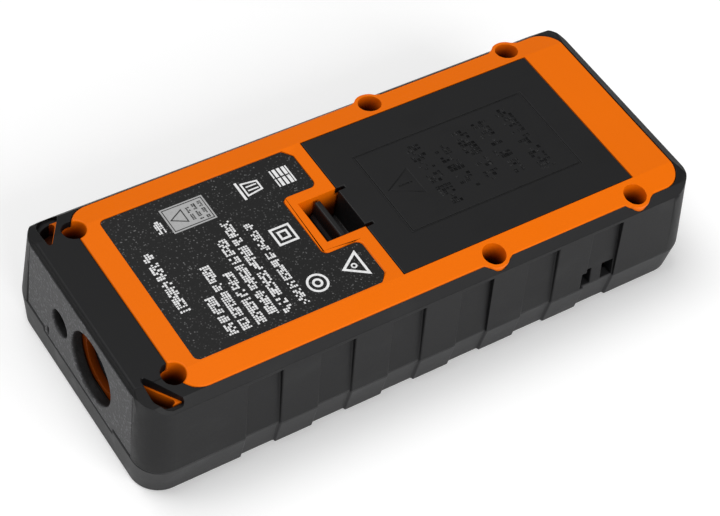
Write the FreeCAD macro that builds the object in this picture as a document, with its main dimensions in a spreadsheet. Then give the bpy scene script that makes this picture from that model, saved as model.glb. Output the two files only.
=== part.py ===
import FreeCAD, Part
import math
import os
import re

import Sketcher

# A handheld laser distance meter lying on its face, in millimetres. +Z comes out of its back, the nose
# with the lens and the laser points to -Y, and the base that measurements start from faces +Y.
# The origin is at the middle of the rim that it lies on.

# Driving dimensions. Lengths run from the nearer end or surface, so each can be changed by itself.
SIZES = {
    "body_length": 120.0, "body_width": 51.0, "body_height": 24.0, "seam_height": 6.7,
    "corner_radius": 5.5, "face_inset_side": 0.9, "face_inset_end": 0.5,
    "back_inset_side": 1.7, "back_inset_nose": 0.3, "back_inset_base": 1.25,
    "part_gap": 0.1, "seat_gap": 0.15, "key_gap": 0.3, "screw_gap": 0.03, "running_gap": 0.05,
    # the black shells
    "shell_wall": 2.6, "face_floor": 2.6, "rim_depth": 0.8, "rim_width": 2.4,
    "bumper_nose_wall": 2.5, "bumper_side_wall": 3.0, "bumper_base_wall": 3.2,
    "rib_pitch": 14.92, "rib_length": 6.97, "rib_start": 19.82, "rib_depth_low": 0.5, "rib_depth_high": 1.0,
    "rib_top_drop": 3.3, "crown_half": 17.9, "crown_angle": 9.0, "band_step": 0.12, "band_width": 1.45,
    "band_drop": 1.6, "base_bevel": 1.1, "base_bevel_slope": 0.8, "nose_bevel": 0.9,
    # the orange housing
    "panel_nose_margin": 8.44, "panel_base_margin": 3.16, "panel_radius": 4.6,
    "housing_wall": 1.4, "panel_thickness": 2.2, "flange_thickness": 2.1, "ear_thickness": 1.55,
    "ear_radius": 2.95, "ear_turn": 50.0, "ear_blend": 0.5, "boss_wall": 0.45,
    # case screws
    "well_radius": 2.27, "well_depth": 10.0, "screw_radius": 1.0, "screw_head_gap": 0.37,
    "screw_head_height": 1.3, "screw_engagement": 4.0, "post_gap": 0.02, "shank_gap": 0.15,
    "drive_radius": 0.8, "drive_depth": 0.7,
    "nose_screw_inset": 4.66, "mid_screw_inset": 1.57, "base_screw_inset": 1.4,
    "mid_screw_from_base": 46.86, "base_screw_from_base": 14.42,
    # nose plate, lens hole and laser hole
    "plate_top_half": 18.7, "plate_foot_half": 19.3, "plate_thickness": 2.2, "plate_top_drop": 0.8,
    "plate_inset": 0.2, "tab_half": 12.7, "tab_depth": 1.0, "slit_width": 0.7, "slit_height": 2.0,
    "slit_from_middle": 11.5, "lens_x": 4.39, "lens_drop": 9.85, "lens_radius": 7.14,
    "laser_x": 7.2, "laser_drop": 10.2, "laser_radius": 2.8, "ring_radius": 6.0,
    # battery cover, latch and bay
    "cover_lap": 1.16, "cover_length": 51.83, "cover_from_base": 12.61, "cover_thickness": 1.6,
    "latch_half": 4.5, "latch_reach": 5.06, "latch_thickness": 1.3, "latch_sink": 0.8,
    "latch_pivot_depth": 7.1, "knuckle_radius": 0.8, "slit_half_gap": 0.35, "slit_length": 1.64,
    "recess_half": 5.05, "recess_slope_run": 1.9, "pit_clearance": 1.4, "pit_depth": 7.9, "slope_depth": 3.4,
    "hinge_tab_inner": 4.0, "hinge_tab_outer": 6.8, "hinge_tab_reach": 1.4, "hinge_tab_thickness": 1.0,
    "cell_radius": 5.25, "cell_length": 44.5, "cell_spacing": 0.3, "cell_side_gap": 0.45,
    "nub_radius": 1.9, "nub_length": 0.8, "bay_length": 48.0, "bay_wall": 1.2, "cell_gap": 0.35,
    "contact_thickness": 0.3, "contact_width": 8.0, "contact_height": 7.0, "spring_radius": 3.0,
    "frame_half": 10.29, "frame_nose": 6.69, "frame_length": 38.66, "line_width": 0.4, "line_depth": 0.25,
    # label
    "label_half": 17.56, "label_nose_margin": 13.07, "label_to_cover": 2.8, "label_cut_x": 1.9,
    "label_cut_y": 1.55, "label_depth": 0.5, "label_thickness": 0.35, "notch_half": 7.3, "notch_margin": 2.04,
    "notch_radius": 1.3, "label_radius": 1.2,
    # corner windows and lanyard slots
    "window_outer_x": 23.5, "window_inner_x": 15.5, "window_nose_margin": 2.75, "window_length": 5.0,
    "window_depth": 5.4, "window_gap": 1.1, "slot_near": 24.0, "slot_bar": 2.6, "slot_width": 2.6,
    "slot_height": 4.0,
    # boards and display
    "board_half": 17.8, "board_nose_margin": 11.8, "board_base_margin": 5.0, "board_thickness": 1.0,
    "board_screw_inset": 2.6, "board_screw_radius": 0.85, "board_hole_radius": 0.95,
    "board_screw_head_radius": 1.6, "board_screw_head_height": 1.0,
    "processor_width": 10.0, "processor_height": 1.2, "ranging_chip_width": 6.0, "ranging_chip_height": 1.0,
    "buzzer_radius": 4.2, "buzzer_height": 2.4, "coil_radius": 1.9, "coil_height": 2.2,
    "crystal_radius": 1.3, "crystal_height": 1.6,
    "display_half": 16.5, "display_margin": 15.0, "display_length": 34.0, "window_thickness": 1.0,
    "window_ledge": 1.4, "glass_thickness": 1.1, "backlight_thickness": 0.9,
    "display_gap": 0.3, "strip_width": 1.6,
    # keys
    "key_radius": 4.6, "measure_radius": 6.6, "key_row_pitch": 13.2, "key_column_pitch": 12.0,
    "key_first_row": 56.5, "key_rise": 0.3, "key_travel": 0.7, "key_flange": 0.8, "key_flange_thickness": 0.5,
    "key_stem_radius": 1.6, "dome_radius": 2.4, "dome_height": 0.45, "mat_thickness": 0.5,
    # optics
    "tube_wall": 0.6, "tube_end_wall": 1.4, "tube_length": 27.0,
    "lens_glass_radius": 5.6, "lens_glass_thickness": 2.4,
    "barrel_radius": 3.2, "barrel_length": 14.0, "laser_tube_wall": 0.9, "laser_tube_length": 16.0,
    "barrel_bore_radius": 1.9, "collimator_radius": 1.87, "collimator_thickness": 1.6,
    "detector_hole_radius": 1.6, "detector_radius": 1.5, "detector_length": 1.8,
    "sensor_board_thickness": 1.0, "shield_thickness": 2.0, "pane_lap": 0.25, "pane_thickness": 0.25,
}

# Places and sizes worked out from the driving dimensions.
PLACES = {
    "half_width": "body_width / 2",
    "nose": "-body_length / 2",
    "base": "body_length / 2",
    "panel_half": "half_width - bumper_side_wall",
    "panel_nose": "nose + panel_nose_margin",
    "panel_base": "base - panel_base_margin",
    "tub_nose": "nose + bumper_nose_wall",
    "tub_base": "base - bumper_base_wall",
    "tub_floor": "seam_height + 0.3",
    "tub_top": "body_height - flange_thickness",
    "panel_under": "body_height - panel_thickness",
    "nose_under": "tub_top - housing_wall",
    "ear_floor": "body_height - ear_thickness",
    "boss_radius": "well_radius + boss_wall",
    "post_radius": "boss_radius - post_gap",
    "screw_head_radius": "well_radius - screw_head_gap",
    "nose_screw_x": "panel_half - nose_screw_inset",
    "bay_screw_x": "bay_half + screw_head_radius + part_gap",
    "mid_screw_x": "max(panel_half - mid_screw_inset; bay_screw_x)",
    "base_screw_x": "max(panel_half - base_screw_inset; bay_screw_x)",
    "mid_screw_y": "base - mid_screw_from_base",
    "base_screw_y": "base - base_screw_from_base",
    "lens_z": "body_height - lens_drop",
    "laser_z": "body_height - laser_drop",
    "plate_face": "nose + plate_inset",
    "plate_back": "plate_face + plate_thickness",
    "plate_top": "body_height - plate_top_drop",
    "cell_pitch": "cell_radius * 2 + cell_spacing",
    "bay_half": "cell_pitch + cell_radius + cell_side_gap",
    "cover_half": "bay_half + cover_lap",
    "cover_base": "base - cover_from_base",
    "cover_nose": "cover_base - cover_length",
    "cover_under": "body_height - cover_thickness",
    "seat_floor": "cover_under - seat_gap",
    "bay_base": "cover_base - bay_wall",
    "bay_nose": "bay_base - bay_length",
    "cell_axis_z": "cover_under - cell_gap - cell_radius",
    "bay_floor": "cell_axis_z - cell_radius - 0.1",
    "bay_under": "bay_floor - bay_wall",
    "latch_tip": "cover_nose - latch_reach",
    "latch_top": "body_height - latch_sink",
    "pit_reach": "latch_reach + pit_clearance",
    "recess_reach": "pit_reach + recess_slope_run",
    "notch_reach": "recess_reach + notch_margin",
    "pit_floor": "body_height - pit_depth - 0.3",
    "pit_nose": "cover_nose - pit_reach",
    "pit_base": "bay_nose - bay_wall",
    "knuckle_y": "latch_tip + latch_thickness / 2",
    "knuckle_z": "body_height - latch_pivot_depth",
    "label_nose": "nose + label_nose_margin",
    "label_base": "cover_nose - label_to_cover",
    "notch_nose": "cover_nose - notch_reach",
    "board_under": "seam_height - 0.7",
    "board_top": "board_under + board_thickness",
    "board_nose": "nose + board_nose_margin",
    "board_base": "base - board_base_margin",
    "display_nose": "nose + display_margin",
    "display_base": "display_nose + display_length",
    "window_top": "rim_depth + window_thickness",
    "key_back": "face_floor + 0.15",
    "dome_under": "board_under - dome_height",
    "stem_top": "dome_under - key_travel - 0.1",
    "mat_under": "key_back + key_flange_thickness + key_travel + 0.15",
    "tube_radius": "lens_glass_radius + screw_gap + tube_wall",
    "laser_tube_radius": "barrel_radius + screw_gap + laser_tube_wall",
    "optics_nose": "tub_nose + part_gap + housing_wall + part_gap",
}

# The keys below the measuring key: a name, a column from the middle and a row from the measuring key.
SMALL_KEYS = [
    ("unit_key", -1, 0.5), ("reference_key", 1, 0.5), ("plus_key", -1, 1.5), ("function_key", 0, 1.25),
    ("minus_key", 1, 1.5), ("memory_key", -0.6, 2.6), ("power_key", 0.6, 2.6),
]

SHEET_NAME = "Sizes"
doc = FreeCAD.newDocument("laser_distance_meter")
sheet = doc.addObject("Spreadsheet::Sheet", SHEET_NAME)
nodes = []


def fill_sheet():
    for row, (name, value) in enumerate(SIZES.items(), start=1):
        sheet.set("A%d" % row, name)
        sheet.set("B%d" % row, str(value))
        sheet.setAlias("B%d" % row, name)
    doc.recompute()


def bound(text):
    """An expression with its words written out as sheet cells."""
    def word(match):
        name = match.group(0)
        if name in PLACES:
            return "(" + bound(PLACES[name]) + ")"
        return SHEET_NAME + "." + name if name in SIZES else name
    return re.sub(r"[a-z][a-z_0-9]*", word, str(text))


def value(text):
    """An expression's number now."""
    result = sheet.evalExpression(bound(text))
    return float(getattr(result, "Value", result))


# ---- sketches -----------------------------------------------------------------------------------

def origin_plane(body, role):
    return [feature for feature in body.Origin.OriginFeatures if feature.Role == role][0]


def new_body(label):
    body = doc.addObject("PartDesign::Body", label)
    body.Label = label
    nodes.append(body)
    return body


def sketch_on(body, name, role, offset="0"):
    """A sketch on an origin plane. XY is drawn as x, y; XZ as x, z (offset towards -Y); YZ as y, z."""
    sketch = body.newObject("Sketcher::SketchObject", body.Label + "_" + name)
    sketch.AttachmentSupport = [(origin_plane(body, role), "")]
    sketch.MapMode = "FlatFace"
    sketch.setExpression("AttachmentOffset.Base.z", bound(offset))
    return sketch


def constrain(sketch, kind, *arguments, size=None):
    if size is None:
        return sketch.addConstraint(Sketcher.Constraint(kind, *arguments))
    index = sketch.addConstraint(Sketcher.Constraint(kind, *arguments, value(size)))
    sketch.setExpression("Constraints[%d]" % index, bound(size))
    return index


def pin_point(sketch, geometry, position, across, up):
    constrain(sketch, "DistanceX", -1, 1, geometry, position, size=across)
    constrain(sketch, "DistanceY", -1, 1, geometry, position, size=up)


def add_outline(sketch, corners):
    """A closed outline of corners (across, up), or (across, up, radius) between edges along the axes."""
    count = len(corners)
    ends = [corner_ends(corners, index) for index in range(count)]
    lines = []
    for index in range(count):
        start, finish = ends[index][1], ends[(index + 1) % count][0]
        lines.append(sketch.addGeometry(Part.LineSegment(point_at(start), point_at(finish)), False))
    for index, corner in enumerate(corners):
        before, after = lines[index - 1], lines[index]
        pin_point(sketch, after, 1, *ends[index][1])
        if len(corner) == 2:
            constrain(sketch, "Coincident", before, 2, after, 1)
            continue
        pin_point(sketch, before, 2, *ends[index][0])
        round_corner(sketch, before, after, corner, ends[index])


def point_at(place):
    return FreeCAD.Vector(value(place[0]), value(place[1]), 0)


def corner_ends(corners, index):
    """Where the edges before and after a corner stop, as expressions."""
    corner = corners[index]
    if len(corner) == 2:
        return corner, corner
    here = point_at(corner)
    ends = []
    for neighbour in (corners[index - 1], corners[(index + 1) % len(corners)]):
        away = point_at(neighbour) - here
        if min(abs(away.x), abs(away.y)) > 1e-6:
            raise ValueError("a round corner needs edges along the axes")
        step_x = "%+d * (%s)" % (round(away.x / away.Length), corner[2])
        step_y = "%+d * (%s)" % (round(away.y / away.Length), corner[2])
        ends.append(("(%s) %s" % (corner[0], step_x), "(%s) %s" % (corner[1], step_y)))
    return ends


def round_corner(sketch, before, after, corner, ends):
    """A quarter circle between the two edges that meet at a corner, drawn anticlockwise."""
    first, last = point_at(ends[0]), point_at(ends[1])
    centre = first + last - point_at(corner)
    forwards = (first - centre).cross(last - centre).z > 0
    start = (first if forwards else last) - centre
    start_angle = math.atan2(start.y, start.x)
    circle = Part.Circle(centre, FreeCAD.Vector(0, 0, 1), value(corner[2]))
    quarter = Part.ArcOfCircle(circle, start_angle, start_angle + math.pi / 2)
    arc = sketch.addGeometry(quarter, False)
    constrain(sketch, "Coincident", before, 2, arc, 1 if forwards else 2)
    constrain(sketch, "Coincident", after, 1, arc, 2 if forwards else 1)
    level_end = (before, 2) if abs(first.y - point_at(corner).y) < 1e-6 else (after, 1)
    constrain(sketch, "Vertical", arc, 3, *level_end)


def add_rectangle(sketch, left, right, low, high, radius=None):
    corners = [(left, low), (right, low), (right, high), (left, high)]
    if radius is not None:
        corners = [corner + (radius,) for corner in corners]
    add_outline(sketch, corners)


def add_circle(sketch, across, up, radius):
    centre = FreeCAD.Vector(value(across), value(up), 0)
    circle = sketch.addGeometry(Part.Circle(centre, FreeCAD.Vector(0, 0, 1), value(radius)), False)
    pin_point(sketch, circle, 3, across, up)
    constrain(sketch, "Radius", circle, size=radius)


# ---- features -----------------------------------------------------------------------------------

def pad(body, sketch, length, towards_normal=True, both_ways=False):
    feature = body.newObject("PartDesign::Pad", sketch.Name + "_pad")
    feature.Profile = sketch
    feature.setExpression("Length", bound(length))
    feature.Reversed = not towards_normal
    feature.Midplane = both_ways
    sketch.Visibility = False
    return feature


def pocket(body, sketch, length, towards_normal=False, both_ways=False):
    """Cut a sketch away, and refuse a cut that takes nothing."""
    doc.recompute()
    volume_before = body.Shape.Volume
    feature = body.newObject("PartDesign::Pocket", sketch.Name + "_pocket")
    feature.Profile = sketch
    feature.setExpression("Length", bound(length))
    feature.Reversed = towards_normal
    feature.Midplane = both_ways
    doc.recompute()
    if body.Shape.Volume > volume_before - 1e-4:
        raise RuntimeError(feature.Name + " cuts nothing")
    return feature


def loft(body, first, last):
    feature = body.newObject("PartDesign::AdditiveLoft", first.Name + "_loft")
    feature.Profile = first
    feature.Sections = [last]
    feature.Ruled = True
    return feature


def repeat_along_y(body, feature, count, span):
    """Repeat a feature towards +Y, the last one a span away from the first."""
    pattern = body.newObject("PartDesign::LinearPattern", feature.Name + "_row")
    pattern.Originals = [feature]
    pattern.Direction = (origin_plane(body, "Y_Axis"), [""])
    pattern.setExpression("Length", bound(span))
    pattern.Occurrences = count
    body.Tip = pattern
    return pattern


# ---- primitives and booleans --------------------------------------------------------------------

def place(thing, x, y, z):
    for axis, text in zip("xyz", (x, y, z)):
        thing.setExpression("Placement.Base." + axis, bound(text))


def box(name, x_range, y_range, z_range):
    """A box between two expressions on each axis."""
    thing = doc.addObject("Part::Box", name)
    for size, (low, high) in zip(("Length", "Width", "Height"), (x_range, y_range, z_range)):
        thing.setExpression(size, bound("(%s) - (%s)" % (high, low)))
    place(thing, x_range[0], y_range[0], z_range[0])
    return thing


def rod(name, x, y, z, radius, length, along="z", end_radius=None):
    """A cylinder, or a cone when the end radius is given, that starts at a point."""
    thing = doc.addObject("Part::Cylinder" if end_radius is None else "Part::Cone", name)
    if end_radius is None:
        thing.setExpression("Radius", bound(radius))
    else:
        thing.setExpression("Radius1", bound(radius))
        thing.setExpression("Radius2", bound(end_radius))
    thing.setExpression("Height", bound(length))
    turns = {"z": ((0, 0, 1), 0), "y": ((1, 0, 0), -90), "x": ((0, 1, 0), 90)}
    axis, angle = turns[along]
    thing.Placement.Rotation = FreeCAD.Rotation(FreeCAD.Vector(*axis), angle)
    place(thing, x, y, z)
    return thing


def fuse(name, pieces):
    thing = doc.addObject("Part::MultiFuse", name)
    thing.Shapes = pieces
    return thing


def cut(name, base, tools):
    thing = doc.addObject("Part::Cut", name)
    thing.Base = base
    thing.Tool = tools[0] if len(tools) == 1 else fuse(name + "_tools", tools)
    return thing


def group(label, pieces):
    """Separate solids of one kind kept together."""
    thing = doc.addObject("Part::Compound", label)
    thing.Links = pieces
    return keep(thing, label)


def keep(thing, label):
    """Make an object one of the assembly's named pieces."""
    thing.Label = label
    nodes.append(thing)
    return thing


# ---- shared outlines ----------------------------------------------------------------------------

def body_outline(sketch, inset_side, inset_nose, inset_base, radius="corner_radius"):
    side = "half_width - (%s)" % inset_side
    ends = "nose + (%s)" % inset_nose, "base - (%s)" % inset_base
    add_rectangle(sketch, "-(%s)" % side, side, *ends, radius)


def screw_places():
    """The six case screws, as x and y expressions."""
    rows = [("nose_screw_x", "panel_nose"), ("mid_screw_x", "mid_screw_y"), ("base_screw_x", "base_screw_y")]
    return [(side + x, y) for x, y in rows for side in ("-", "")]


def side_screw_places():
    return screw_places()[2:]


def cut_ribs(body, low_z, high_z, low_x, high_x, low_depth, high_depth):
    """Six shallow recesses in each long side, between two heights of the sloping wall."""
    sketch = sketch_on(body, "ribs", "XZ_Plane", "-(nose + rib_start + rib_length / 2)")
    reach = "half_width + 3"
    for side in ("", "-"):
        add_outline(sketch, [
            (side + "((%s) - (%s))" % (low_x, low_depth), low_z),
            (side + "(%s)" % reach, low_z),
            (side + "(%s)" % reach, high_z),
            (side + "((%s) - (%s))" % (high_x, high_depth), high_z),
        ])
    recess = pocket(body, sketch, "rib_length", both_ways=True)
    return repeat_along_y(body, recess, 6, "rib_pitch * 5")


def cut_crown(body, sink):
    """Slope the top down towards both long sides, and drop it faster beyond the panel when it is sunk."""
    sketch = sketch_on(body, "crown", "XZ_Plane")
    edge_z = "(body_height - (%s) - (panel_half - crown_half) * tan(crown_angle))" % sink
    far_z = "(body_height - (%s) - (half_width - crown_half + 2) * tan(crown_angle))" % sink
    over = "body_height + 1"
    for side in ("", "-"):
        corners = [(side + "(crown_half)", over), (side + "(crown_half)", "body_height - (%s)" % sink)]
        if sink == "0":
            corners.append((side + "(half_width + 2)", far_z))
        else:
            corners.append((side + "(panel_half)", edge_z))
            corners.append((side + "(panel_half + band_width)", edge_z + " - band_drop"))
            corners.append((side + "(half_width + 2)", edge_z + " - band_drop - 3"))
        corners.append((side + "(half_width + 2)", over))
        add_outline(sketch, corners)
    return pocket(body, sketch, "body_length * 2", both_ways=True)


def ear_outline(sketch, side, y, gap):
    """The sloping shoulders on both sides of a side screw's ear, up to its round rim."""
    x = "(mid_screw_x)" if y == "mid_screw_y" else "(base_screw_x)"
    start = "(panel_half + %s - part_gap)" % gap
    rim_x = "(%s + (ear_radius + %s) * cos(ear_turn))" % (x, gap)
    rim_y = "((ear_radius + %s) * sin(ear_turn))" % gap
    foot = "(%s + (%s - %s) / tan(ear_turn) + ear_blend)" % (rim_y, rim_x, start)
    inner = "(%s - 2)" % x
    add_outline(sketch, [
        (side + inner, "%s - %s" % (y, foot)),
        (side + start, "%s - %s" % (y, foot)),
        (side + rim_x, "%s - %s" % (y, rim_y)),
        (side + rim_x, "%s + %s" % (y, rim_y)),
        (side + start, "%s + %s" % (y, foot)),
        (side + inner, "%s + %s" % (y, foot)),
    ])


def label_outline(sketch, gap):
    """The label: cut base corners and a notch round the finger recess. The gap draws it in all round."""
    side = "(label_half - %s)" % gap
    end = "(label_base - %s)" % gap
    notch = "(notch_half + %s)" % gap
    floor = "(notch_nose - %s)" % gap
    add_outline(sketch, [
        ("-" + side, "label_nose + %s" % gap, "label_radius"),
        (side, "label_nose + %s" % gap, "label_radius"),
        (side, end + " - label_cut_y"),
        (side + " - label_cut_x", end),
        (notch, end, "notch_radius"),
        (notch, floor, "notch_radius"),
        ("-" + notch, floor, "notch_radius"),
        ("-" + notch, end, "notch_radius"),
        ("-" + side + " + label_cut_x", end),
        ("-" + side, end + " - label_cut_y"),
    ])


def corner_window_outline(sketch, side, gap="0"):
    """The three-cornered window in a nose corner, with each corner rounded in short steps."""
    near = "nose + window_nose_margin - %s" % gap
    far = "nose + window_nose_margin + window_length + %s" % gap
    outer = "window_outer_x + %s" % gap
    inner = "window_inner_x - %s" % gap
    def point(across, up, start, end):
        return side + "(%s %+.3f)" % (start, across), "%s %+.3f" % (end, up)
    add_outline(sketch, [
        point(0.921, 0.535, inner, near), point(1.054, 0.159, inner, near), point(1.42, 0, inner, near),
        point(-3.0, 0, outer, near), point(-1.9, 0.22, outer, near), point(-1.0, 0.8, outer, near),
        point(-0.35, 1.6, outer, near), point(0, 2.6, outer, near),
        point(0, -0.75, outer, far), point(-0.12, -0.33, outer, far), point(-0.5, -0.04, outer, far),
        point(-0.95, -0.06, outer, far), point(-1.35, -0.3, outer, far),
        point(1.107, 0.89, inner, near),
    ])


# ---- shells -------------------------------------------------------------------------------------

def front_shell():
    body = new_body("front_shell")
    rim = sketch_on(body, "rim_line", "XY_Plane")
    body_outline(rim, "face_inset_side", "face_inset_end", "face_inset_end")
    seam = sketch_on(body, "seam_line", "XY_Plane", "seam_height")
    body_outline(seam, "0", "0", "0")
    loft(body, rim, seam)

    cavity = sketch_on(body, "cavity", "XY_Plane", "seam_height")
    body_outline(cavity, "shell_wall", "shell_wall", "shell_wall", "corner_radius - shell_wall")
    pocket(body, cavity, "seam_height - face_floor")
    face = sketch_on(body, "face", "XY_Plane")
    inset = "face_inset_side + rim_width"
    body_outline(face, inset, inset, inset, "corner_radius - rim_width")
    pocket(body, face, "rim_depth", towards_normal=True)

    posts = sketch_on(body, "posts", "XY_Plane", "face_floor")
    for x, y in screw_places():
        add_circle(posts, x, y, "post_radius")
    pad(body, posts, "seam_height + 0.2 - face_floor")
    holes = sketch_on(body, "post_holes", "XY_Plane", "seam_height + 0.2")
    for x, y in screw_places():
        add_circle(holes, x, y, "screw_radius + screw_gap")
    pocket(body, holes, "screw_engagement + 0.3")

    rebate = sketch_on(body, "window_rebate", "XY_Plane")
    add_rectangle(rebate, "-display_half", "display_half", "display_nose", "display_base")
    pocket(body, rebate, "window_top", towards_normal=True)
    opening = sketch_on(body, "window_opening", "XY_Plane")
    add_rectangle(opening, "-display_half + window_ledge", "display_half - window_ledge",
                  "display_nose + window_ledge", "display_base - window_ledge", "1")
    pocket(body, opening, "face_floor + 0.1", towards_normal=True)

    key_holes = sketch_on(body, "key_holes", "XY_Plane")
    for name, x, y, radius in key_places():
        add_circle(key_holes, x, y, radius + " + key_gap")
    pocket(body, key_holes, "face_floor + 0.1", towards_normal=True)

    tab_notch = sketch_on(body, "tab_notch", "XY_Plane", "seam_height")
    tab_side = "tab_half + part_gap"
    add_rectangle(tab_notch, "-(%s)" % tab_side, tab_side, "nose - 1", "plate_back + part_gap")
    pocket(body, tab_notch, "tab_depth + part_gap")
    low_x = "half_width - face_inset_side"
    cut_ribs(body, "0 - 0.01", "seam_height + 0.01", low_x, "half_width", "rib_depth_low", "rib_depth_low")


def rear_bumper():
    body = new_body("rear_bumper")
    seam = sketch_on(body, "seam_line", "XY_Plane", "seam_height")
    body_outline(seam, "0", "0", "0")
    back = sketch_on(body, "back_line", "XY_Plane", "body_height")
    body_outline(back, "back_inset_side", "back_inset_nose", "back_inset_base")
    loft(body, seam, back)

    tub = sketch_on(body, "tub_space", "XY_Plane", "seam_height")
    add_rectangle(tub, "-panel_half", "panel_half", "tub_nose", "tub_base", "panel_radius - 1")
    pocket(body, tub, "tub_top - seam_height", towards_normal=True)
    opening = sketch_on(body, "panel_opening", "XY_Plane", "body_height")
    add_rectangle(opening, "-panel_half", "panel_half", "panel_nose", "panel_base", "panel_radius")
    pocket(body, opening, "body_height - tub_top + 0.5")
    bosses = sketch_on(body, "boss_space", "XY_Plane", "seam_height")
    for x, y in side_screw_places():
        add_circle(bosses, x, y, "boss_radius + part_gap")
    pocket(body, bosses, "body_height - seam_height", towards_normal=True)
    wells = sketch_on(body, "nose_wells", "XY_Plane", "body_height")
    for x, y in screw_places()[:2]:
        add_circle(wells, x, y, "well_radius")
    pocket(body, wells, "body_height - tub_top + 0.5")
    shoulders = sketch_on(body, "ear_shoulder_space", "XY_Plane", "body_height")
    rims = sketch_on(body, "ear_rim_space", "XY_Plane", "body_height")
    for x, y in side_screw_places():
        ear_outline(shoulders, "-" if x.startswith("-") else "", y, "part_gap")
        add_circle(rims, x, y, "ear_radius + part_gap")
    pocket(body, shoulders, "ear_thickness")
    pocket(body, rims, "ear_thickness")
    windows = sketch_on(body, "corner_windows", "XY_Plane", "body_height")
    for side in ("", "-"):
        corner_window_outline(windows, side)
    pocket(body, windows, "body_height - tub_top + 0.5")

    plate = sketch_on(body, "plate_opening", "XZ_Plane", "-nose + 1")
    gap = "part_gap"
    add_outline(plate, [
        ("-(plate_foot_half + %s)" % gap, "seam_height - 1"),
        ("plate_foot_half + %s" % gap, "seam_height - 1"),
        ("plate_top_half + %s" % gap, "plate_top + %s" % gap),
        ("-(plate_top_half + %s)" % gap, "plate_top + %s" % gap),
    ])
    pocket(body, plate, "1 + bumper_nose_wall + 0.01")

    slots = sketch_on(body, "lanyard_slots", "XY_Plane", "seam_height")
    inner = "panel_half - 1"
    for start in ("base - slot_near - slot_width", "base - slot_near + slot_bar"):
        add_rectangle(slots, inner, "half_width + 1", start, "(%s) + slot_width" % start)
    pocket(body, slots, "slot_height", towards_normal=True)

    cut_crown(body, "band_step")
    ends = sketch_on(body, "end_bevels", "YZ_Plane")
    top = "body_height"
    base_start = "base - back_inset_base - base_bevel - base_bevel_slope"
    nose_start = "nose + back_inset_nose + nose_bevel"
    add_outline(ends, [
        (base_start, top), ("base + 1", top + " - base_bevel - 1.2"), ("base + 1", top + " + 1"),
        (base_start, top + " + 1"),
    ])
    add_outline(ends, [
        (nose_start, top), (nose_start, top + " + 1"),
        ("nose - 1", top + " + 1"), ("nose - 1", top + " - 1.6"),
    ])
    pocket(body, ends, "body_width * 2", both_ways=True)
    high_z = "(body_height - rib_top_drop)"
    high_x = "half_width - back_inset_side * (%s - seam_height) / (body_height - seam_height)" % high_z
    cut_ribs(body, "seam_height - 0.01", high_z, "half_width", high_x, "rib_depth_low", "rib_depth_high")


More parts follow.
